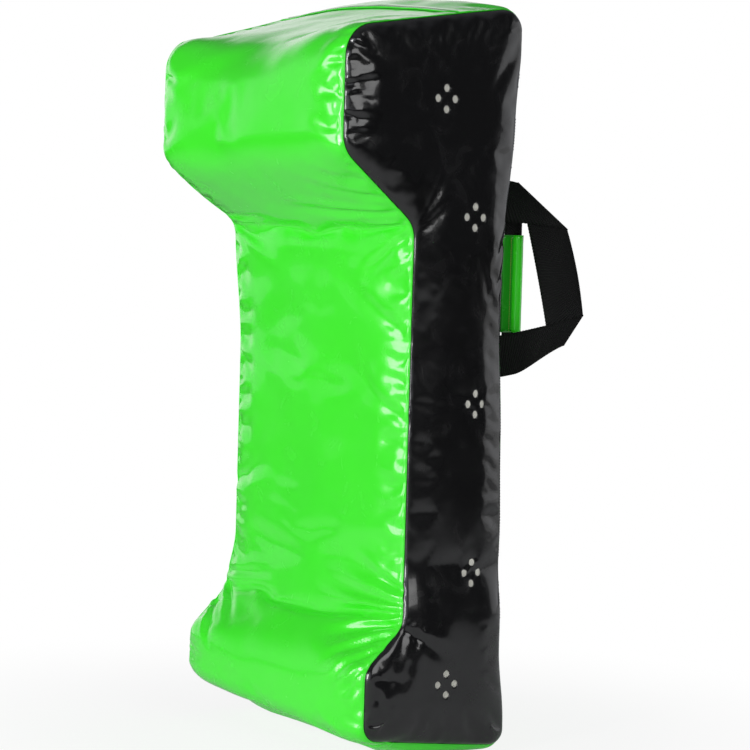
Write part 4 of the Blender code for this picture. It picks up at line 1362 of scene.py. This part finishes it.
def sleeve_profile():
    """The grip sleeve's cross-section as (level, distance from the hinge): a flap, a round
    roll and the flap's other side."""
    flap_end = SLEEVE_MIDDLE - SLEEVE_FLAP
    half = SLEEVE_FLAP_T / 2
    open_angle = math.asin(half / SLEEVE_ROUND_R)
    flap_reach = SLEEVE_MIDDLE - SLEEVE_ROUND_R * 0.95 - flap_end
    points = []
    for k in range(FLAP_STEPS + 1):
        share = k / FLAP_STEPS
        pinch = SLEEVE_PINCH * math.exp(-(((share - 0.72) / 0.12) ** 2))
        points.append((half - pinch, flap_end + flap_reach * share))
    for k in range(1, ROUND_STEPS):
        angle = -math.pi / 2 + open_angle + (math.tau - 2 * open_angle) * k / ROUND_STEPS
        level = SLEEVE_ROUND_R * math.cos(angle)
        points.append((level, SLEEVE_MIDDLE + SLEEVE_ROUND_R * math.sin(angle)))
    points += [(-level, far) for level, far in points[FLAP_STEPS::-1]]
    return points


def grip_sleeve(side, word, green, shaded_flap_green, thread):
    """The coated sleeve sewn round the hand grip, with painted shade on its flap: a darker green there
    stands in for the shade that falls between the pad and the strap.
    """
    hinge = Vector((side * GRIP.hinge_x, HINGE_Y, 0))
    turn = Matrix.Rotation(-side * GRIP.splay, 4, "Z")
    body = "grip_" + word
    profile = sleeve_profile()
    bm = bmesh.new()
    grid = []
    for r in range(SLEEVE_ROWS + 1):
        z = SLEEVE_LOW_Z + SLEEVE_LENGTH * r / SLEEVE_ROWS
        line = []
        for level, far in profile:
            puff = SLEEVE_PUFF * noise.noise(Vector((level * 60, far * 60, z * 45)))
            grow = 1 + puff / SLEEVE_ROUND_R
            out = side * (level * grow - SLEEVE_SHIFT)
            point = Vector((out, SLEEVE_MIDDLE + (far - SLEEVE_MIDDLE) * grow, z))
            line.append(bm.verts.new(turn @ point + hinge))
        grid.append(line)
    add_sheet(bm, grid, lambda r, k: (k * SLEEVE_UV_STEP, r * SLEEVE_LENGTH / SLEEVE_ROWS))
    columns = len(profile) - 1
    # The flap's faces take the darker green second material, which is painted shade.
    for number, face in enumerate(bm.faces):
        on_round = FLAP_STEPS <= number % columns < columns - FLAP_STEPS
        face.material_index = 0 if on_round else 1
    name, node = "grip_sleeve_sewn_" + word, "grip_sleeve_" + word
    finished(name, bm, green, body, node, SLEEVE_T, -side, trim=shaded_flap_green)
    bm = bmesh.new()
    far = SLEEVE_MIDDLE - SLEEVE_ROUND_R - SLEEVE_STITCH_BACK
    for face in (1, -1):
        level = side * (face * (SLEEVE_FLAP_T / 2 - SLEEVE_STITCH_SUNK) - SLEEVE_SHIFT)
        heights = [SLEEVE_LOW_Z + z for z in (SLEEVE_STITCH_END, SLEEVE_LENGTH - SLEEVE_STITCH_END)]
        path = [turn @ Vector((level, far, z)) + hinge for z in heights]
        out = turn.to_3x3() @ Vector((face * side, 0, 0))
        stitch_path(bm, path, out, size=SLEEVE_STITCH)
    finished("grip_sleeve_stitches_" + word, bm, thread, body)


def handle_patch(side, word, z, place, cover, material, thread):
    """A sewn patch under the webbing's end, with a boxed cross of stitches."""
    bm = bmesh.new()
    half_x, half_z = PATCH_WIDE / 2, PATCH_TALL / 2
    across, up = round(PATCH_WIDE / PATCH_STEP), round(PATCH_TALL / PATCH_STEP)
    grid = []
    for i in range(across + 1):
        line = []
        for j in range(up + 1):
            x, dz = (i / across - 0.5) * PATCH_WIDE, (j / up - 0.5) * PATCH_TALL
            corner = max(0.0, abs(x) + abs(dz) - half_x - half_z + PATCH_CORNER) / 2
            x -= math.copysign(corner, x)
            dz -= math.copysign(corner, dz)
            edge = min(half_x - abs(x), half_z - abs(dz)) + 1e-6
            puff = PATCH_PUFF * math.exp(-(((edge - PATCH_STITCH_IN) / 0.0014) ** 2))
            height = PATCH_LIFT + PATCH_T * min(1.0, 0.35 + edge / 0.002) - puff
            above = Vector((side * (PATCH_X + x), BACK_FACE_Y + 0.02, z + dz))
            ground, _, _, _ = cover.ray_cast(above, Vector((0, -1, 0)))
            line.append(bm.verts.new((above.x, ground.y + height, above.z)))
        grid.append(line)
    add_sheet(bm, grid, lambda i, j: grid[i][j].co.xz)
    name, node = f"handle_patch_sewn_{word}_{place}", f"handle_patch_{word}_{place}"
    tree = surface_of(finished(name, bm, material, node=node))
    bm = bmesh.new()
    x0, x1 = PATCH_X - half_x + PATCH_STITCH_IN, PATCH_X + half_x - PATCH_STITCH_IN
    z0, z1 = z - half_z + PATCH_STITCH_IN, z + half_z - PATCH_STITCH_IN
    left, right = x0 + CROSS_FROM_EDGE, PATCH_X - CROSS_FROM_EDGE
    low, high = z0 + CROSS_FROM_END, z1 - CROSS_FROM_END
    lines = [
        ((x0, z0), (x1, z0), (x1, z1), (x0, z1), (x0, z0)),
        ((left, low), (right, low), (right, high), (left, high)),
        ((left, high), (left, low), (right, high)),
        ((right, low), (left, high)),
    ]
    y = BACK_FACE_Y + PATCH_LIFT + PATCH_T - PATCH_STITCH_SUNK
    for line in lines:
        stitch_lines(bm, line, side, y, tree, PATCH_STITCH)
    finished(f"handle_patch_stitches_{word}_{place}", bm, thread)


def handles(cover, webbing, green, shaded_flap_green, black, thread, tan_thread):
    """Patches, arm straps and hand grips: one set at each side of the back."""
    for side, word in SIDES:
        for z, place in ((STRAP_UPPER_Z, "upper"), (STRAP_LOWER_Z, "lower")):
            handle_patch(side, word, z, place, cover, black, thread)
        for strip in (STRAP, GRIP):
            webbing_strip(strip, side, word, webbing)
        grip_sleeve(side, word, green, shaded_flap_green, tan_thread)


def zip_details(tape, coil, metal):
    """Woven tapes, the coil's teeth and softened metal for the zip."""
    tape_y = BACK_FACE_Y - COVER_T - TAPE_BEHIND
    low_z, length = ZIP_LOW_Z - TAPE_PAST_ZIP, ZIP_HIGH_Z - ZIP_LOW_Z + 2 * TAPE_PAST_ZIP
    for side, word in SIDES:
        bm = bmesh.new()
        grid = []
        for r in range(TAPE_ROWS + 1):
            z = low_z + length * r / TAPE_ROWS
            grid.append([bm.verts.new((side * x, tape_y + up, z)) for x, up in TAPE_PROFILE])
        add_sheet(bm, grid)
        name, node = "zip_tape_woven_" + word, "zip_tape_" + word
        finished(name, bm, tape, node=node, thickness=TAPE_T)
    bm = bmesh.new()
    low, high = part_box("zip_chain")
    for k in range(int((high.z - low.z) / TOOTH_PITCH)):
        centre = Vector((0, (low.y + high.y) / 2, low.z + TOOTH_PITCH * (k + 0.5)))
        add_tooth(bm, centre, high.x if k % 2 else -high.x)
    finished("zip_coil_teeth", bm, coil, node="zip_chain")
    for name in ("zip_slider", "zip_pull", "zip_bottom_stop", "zip_top_stop"):
        node = bpy.data.objects[name]
        modified(node, "BEVEL", width=METAL_EDGE, segments=2, limit_method="ANGLE")
        for slot in node.material_slots:
            slot.material = metal


def add_tooth(bm, centre, reach):
    """One loop of the coil: a slanted bar with a fatter head over the middle."""
    rings = []
    for share, rise, half_y, half_z in TOOTH_SHAPE:
        middle = centre + Vector((share * reach, 0, rise))
        across, up = Vector((0, half_y, 0)), Vector((0, 0, half_z))
        rings.append(add_ring(bm, middle, across, up, 1.3, 4, 0.5))
    bridge(bm, rings)
    close_ends(bm, rings)


def node_of(tree, kind, **values):
    """A shader node. A capital starts the name of an input, and a small letter a setting."""
    node = tree.nodes.new("ShaderNode" + kind)
    set_values(node, values)
    return node


def set_values(node, values):
    for name, value in values.items():
        if name[0].isupper():
            node.inputs[name.replace("_", " ")].default_value = value
        else:
            setattr(node, name, value)


def principled(name, colour, roughness, **values):
    """A material with its node tree and its shader."""
    material = bpy.data.materials.new(name)
    material.use_nodes = True
    shader = material.node_tree.nodes["Principled BSDF"]
    set_values(shader, {"Base_Color": (*colour, 1), "Roughness": roughness, **values})
    return material, material.node_tree, shader


def texture(tree, kind, where, **values):
    """A texture's value, laid out by the object's own or its UV coordinates."""
    node = node_of(tree, "Tex" + kind, **values)
    tree.links.new(node_of(tree, "TexCoord").outputs[where], node.inputs["Vector"])
    return node.outputs["Fac"]


def combined(tree, operation, *values):
    """Math nodes that take the values in one after another."""
    total = values[0]
    for value in values[1:]:
        node = node_of(tree, "Math", operation=operation)
        tree.links.new(total, node.inputs[0])
        tree.links.new(value, node.inputs[1])
        total = node.outputs["Value"]
    return total


def eased(tree, value, low, high, start, stop, interpolation="SMOOTHSTEP"):
    """A value's range drawn over to another: start up to low, and stop from high on."""
    node = node_of(tree, "MapRange", interpolation_type=interpolation)
    set_values(node, {"From_Min": low, "From_Max": high, "To_Min": start, "To_Max": stop})
    tree.links.new(value, node.inputs["Value"])
    return node.outputs["Result"]


def coloured(tree, value, *stops):
    """Colours the surface by a value, from one stop's colour to the other's."""
    ramp = node_of(tree, "ValToRGB")
    for element, (place, colour) in zip(ramp.color_ramp.elements, stops):
        element.position = place
        element.color = (*colour, 1)
    tree.links.new(value, ramp.inputs["Fac"])
    tree.links.new(ramp.outputs["Color"], tree.nodes["Principled BSDF"].inputs["Base Color"])


def bumped(tree, height, strength, distance, under=None):
    """Bump for the surface, over another bump's normal where there is one."""
    node = node_of(tree, "Bump", Strength=strength, Distance=distance)
    tree.links.new(height, node.inputs["Height"])
    if under:
        tree.links.new(under, node.inputs["Normal"])
    tree.links.new(node.outputs["Normal"], tree.nodes["Principled BSDF"].inputs["Normal"])
    return node.outputs["Normal"]


def mixed(tree, share, first, second, output):
    """Two shaders mixed to make an output's surface."""
    node = node_of(tree, "MixShader")
    for socket, value in enumerate((share, first, second)):
        tree.links.new(value, node.inputs[socket])
    tree.links.new(node.outputs["Shader"], tree.nodes[output].inputs["Surface"])


def crossed_waves(tree, where, axes, operation, **values):
    """Two wave textures across each other, as woven threads lie."""
    waves = [texture(tree, "Wave", where, bands_direction=axis, **values) for axis in axes]
    return combined(tree, operation, *waves)


def coated_fabric(name, colour, deeper, roughness, scuff):
    """Glossy coated fabric under a clear coat: faint clouding in its colour, a few scuffs in
    its gloss, and the weave of its scrim and the slight ripple of its coat as bump."""
    gloss = {"Coat_Weight": 0.55, "Coat_Roughness": 0.045}
    material, tree, shader = principled(name, colour, roughness, **gloss)
    clouds = texture(tree, "Noise", "Object", Scale=5.0, Detail=3.0)
    coloured(tree, clouds, (0.35, deeper), (0.65, colour))
    scratches = texture(tree, "Noise", "Object", Scale=26.0, Detail=5.0, Distortion=1.4)
    scuffed = eased(tree, scratches, 0.52, 0.70, roughness, roughness + scuff, "LINEAR")
    tree.links.new(scuffed, shader.inputs["Roughness"])
    ripples = texture(tree, "Noise", "Object", Scale=36.0, Detail=2.0)
    coat = bumped(tree, ripples, 0.10, 0.0012)
    tree.links.new(coat, shader.inputs["Coat Normal"])
    weave = crossed_waves(tree, "UV", ("X", "Y"), "MULTIPLY", Scale=260.0)
    bumped(tree, weave, 0.07, 0.0002, coat)
    return material


def webbing_material(name, colour):
    """Ribbed woven webbing: ribs along U with a finer twill between them. Its colour follows their
    height as painted shade and painted highlight: darker in the low parts, lighter on the raised ribs
    and threads.
    """
    material, tree, _ = principled(name, colour, 0.55, Sheen_Weight=0.02, Specular_IOR_Level=0.18)
    ribs = texture(
        tree, "Wave", "UV", bands_direction="X", Scale=105.0, Distortion=0.5, Detail=1.0
    )
    threads = texture(
        tree, "Wave", "UV", bands_direction="DIAGONAL", Scale=330.0, Distortion=1.0, Detail=1.0
    )
    total = node_of(tree, "Math", operation="MULTIPLY_ADD")
    tree.links.new(threads, total.inputs[0])
    total.inputs[1].default_value = 0.35
    tree.links.new(ribs, total.inputs[2])
    height = total.outputs["Value"]
    bumped(tree, height, 0.8, 0.0008)
    # Painted shade in the low parts between ribs and threads, and a painted highlight on the raised
    # ones.
    coloured(tree, height, (0.2, [c * 0.25 for c in colour]), (1.0, [c * 2.2 for c in colour]))
    return material


def mesh_material(name):
    """Pale woven mesh, with painted shade in the gaps between its threads, which are slightly darker.
    """
    material, tree, _ = principled(name, (0.42, 0.42, 0.38), 0.8)
    height = crossed_waves(tree, "Object", ("Y", "Z"), "ADD", Scale=300.0, Distortion=0.8)
    # Painted shade: the colour is darker in the gaps between the threads.
    coloured(tree, height, (0.0, (0.55, 0.54, 0.47)), (1.0, (0.85, 0.84, 0.75)))
    bumped(tree, height, 0.5, 0.0004)
    return material


def grained(name, colour, roughness, scale, strength, **values):
    """A material with fine grain in its colour and bump, for foam, thread, coil and metal."""
    material, tree, _ = principled(name, colour, roughness, **values)
    grain = texture(tree, "Noise", "Object", Scale=scale, Detail=4.0)
    coloured(tree, grain, (0.3, [c * 0.72 for c in colour]), (0.7, colour))
    bumped(tree, grain, strength, 0.0005)
    return material


def studio_world():
    """White for the camera, and for gloss where the backdrop stands. Otherwise a dim room with
    soft-edged pale walls, each a cone round its direction, that fade out above the object."""
    world = bpy.data.worlds.new("studio")
    bpy.context.scene.world = world
    world.use_nodes = True
    tree = world.node_tree
    sight = node_of(tree, "TexCoord").outputs["Generated"]

    def facing(direction, low, high, start, stop):
        dot = node_of(tree, "VectorMath", operation="DOT_PRODUCT")
        dot.inputs[1].default_value = Vector(direction).normalized()
        tree.links.new(sight, dot.inputs[0])
        return eased(tree, dot.outputs["Value"], low, high, start, stop)

    fade = facing((0, 0, 1), *ROOM_FADE, 1, 0)
    walls = [facing(way, low, high, 0, strength) for way, low, high, strength in ROOM_WALLS]
    walls = combined(tree, "MULTIPLY", combined(tree, "ADD", *walls), fade)
    overhead = facing((0, 0, 1), *ROOM_OVERHEAD, ROOM_DIM, ROOM_TOP)
    room = tree.nodes["Background"]
    room.inputs["Color"].default_value = (*ROOM_TINT, 1)
    tree.links.new(combined(tree, "ADD", walls, overhead), room.inputs["Strength"])

    rays = node_of(tree, "LightPath").outputs
    backdrop = combined(tree, "MULTIPLY", facing(*BACKDROP, 0, 1), fade)
    in_gloss = combined(tree, "MULTIPLY", rays["Is Glossy Ray"], backdrop)
    seen = combined(tree, "MAXIMUM", rays["Is Camera Ray"], rays["Is Transmission Ray"], in_gloss)
    white = node_of(tree, "Background", Color=(1, 1, 1, 1))
    mixed(tree, seen, room.outputs["Background"], white.outputs["Background"], "World Output")


def pale_floor():
    """A white floor near the object that keeps its shadow and fades into the background. Its colour
    darkens far off, painted shade for the fall-off of light, where only reflections see it."""
    mesh = bpy.data.meshes.new("floor")
    ways = ((-1, -1), (1, -1), (1, 1), (-1, 1))
    mesh.from_pydata([(x * FLOOR_HALF, y * FLOOR_HALF, 0) for x, y in ways], [], [[0, 1, 2, 3]])
    linked("floor", mesh)
    material, tree, shader = principled("floor", (0.85, 0.85, 0.85), 0.8)
    far = node_of(tree, "VectorMath", operation="LENGTH")
    tree.links.new(node_of(tree, "TexCoord").outputs["Object"], far.inputs[0])
    distance = far.outputs["Value"]
    # Painted shade: the floor's colour darkens with distance from the object.
    tree.links.new(eased(tree, distance, *FLOOR_PAINTED_FALLOFF), shader.inputs["Base Color"])
    to_camera = node_of(tree, "LightPath").outputs["Is Camera Ray"]
    share = combined(tree, "MULTIPLY", to_camera, eased(tree, distance, *FLOOR_FADE))
    white = node_of(tree, "Emission")
    mixed(tree, share, shader.outputs["BSDF"], white.outputs["Emission"], "Material Output")
    mesh.materials.append(material)


def lamps():
    for name, place, target, size, power, in_gloss in LAMPS:
        data = bpy.data.lights.new(name, "AREA")
        data.shape = "RECTANGLE"
        data.size, data.size_y = size
        data.energy = power
        lamp = linked(name, data)
        lamp.visible_glossy = in_gloss
        lamp.location = place
        lamp.rotation_euler = (Vector(target) - Vector(place)).to_track_quat("-Z", "Y").to_euler()


def photo_camera():
    data = bpy.data.cameras.new("camera")
    data.sensor_width = 36.0
    data.lens = CAMERA_LENS
    camera = linked("camera", data)
    azimuth, elevation, roll = (math.radians(a) for a in CAMERA_ANGLES)
    level = Vector((math.cos(azimuth), math.sin(azimuth), 0))
    back = Vector((level.y, -level.x, 0)) * math.cos(elevation) + Vector((0, 0, math.sin(elevation)))
    up = back.cross(level)
    across = level * math.cos(roll) + up * math.sin(roll)
    upward = up * math.cos(roll) - level * math.sin(roll)
    place = Vector(CAMERA_TARGET) + back * CAMERA_DISTANCE
    place -= across * CAMERA_ASIDE + upward * CAMERA_ABOVE
    rows = [[across[i], upward[i], back[i], place[i]] for i in range(3)]
    camera.matrix_world = Matrix(rows + [[0, 0, 0, 1]])
    bpy.context.scene.camera = camera


def main():
    bpy.context.scene.view_settings.view_transform = "Standard"
    photo_camera()
    studio_world()
    pale_floor()
    lamps()
    green = coated_fabric("green_cover", (0.052, 0.82, 0.024), (0.045, 0.79, 0.020), 0.24, 0.05)
    black = coated_fabric("black_cover", (0.0035, 0.0035, 0.0038), (0.003, 0.003, 0.0032), 0.20, 0.12)
    # A darker green for the grip sleeves' flaps: painted shade where the flap lies between the pad and
    # the strap.
    shaded_flap_green = coated_fabric("shaded_flap_green", (0.010, 0.32, 0.006), (0.009, 0.30, 0.005), 0.24, 0.05)
    webbing = webbing_material("black_webbing", (0.0018, 0.0018, 0.0018))
    thread = grained("black_thread", (0.012, 0.012, 0.012), 0.6, 900, 0.4)
    tan_thread = grained("tan_thread", (0.60, 0.46, 0.14), 0.6, 900, 0.4)
    foam = grained("foam", (0.72, 0.72, 0.68), 0.9, 260, 0.8)
    tape = webbing_material("zip_tape", (0.011, 0.011, 0.012))
    coil = grained("zip_coil", (0.015, 0.015, 0.016), 0.38, 500, 0.1)
    metal = grained("zip_metal", (0.45, 0.45, 0.46), 0.32, 420, 0.1, Metallic=1.0)
    skin, panels = dressed_cover(green, black)
    seam_details(skin, panels, green, thread)
    back_stitches(panels, thread)
    vent_meshes(panels, mesh_material("vent_mesh"))
    foam_blocks(foam)
    cover = surface_of(panels["back_cover"])
    handles(cover, webbing, green, shaded_flap_green, black, thread, tan_thread)
    zip_details(tape, coil, metal)


main()
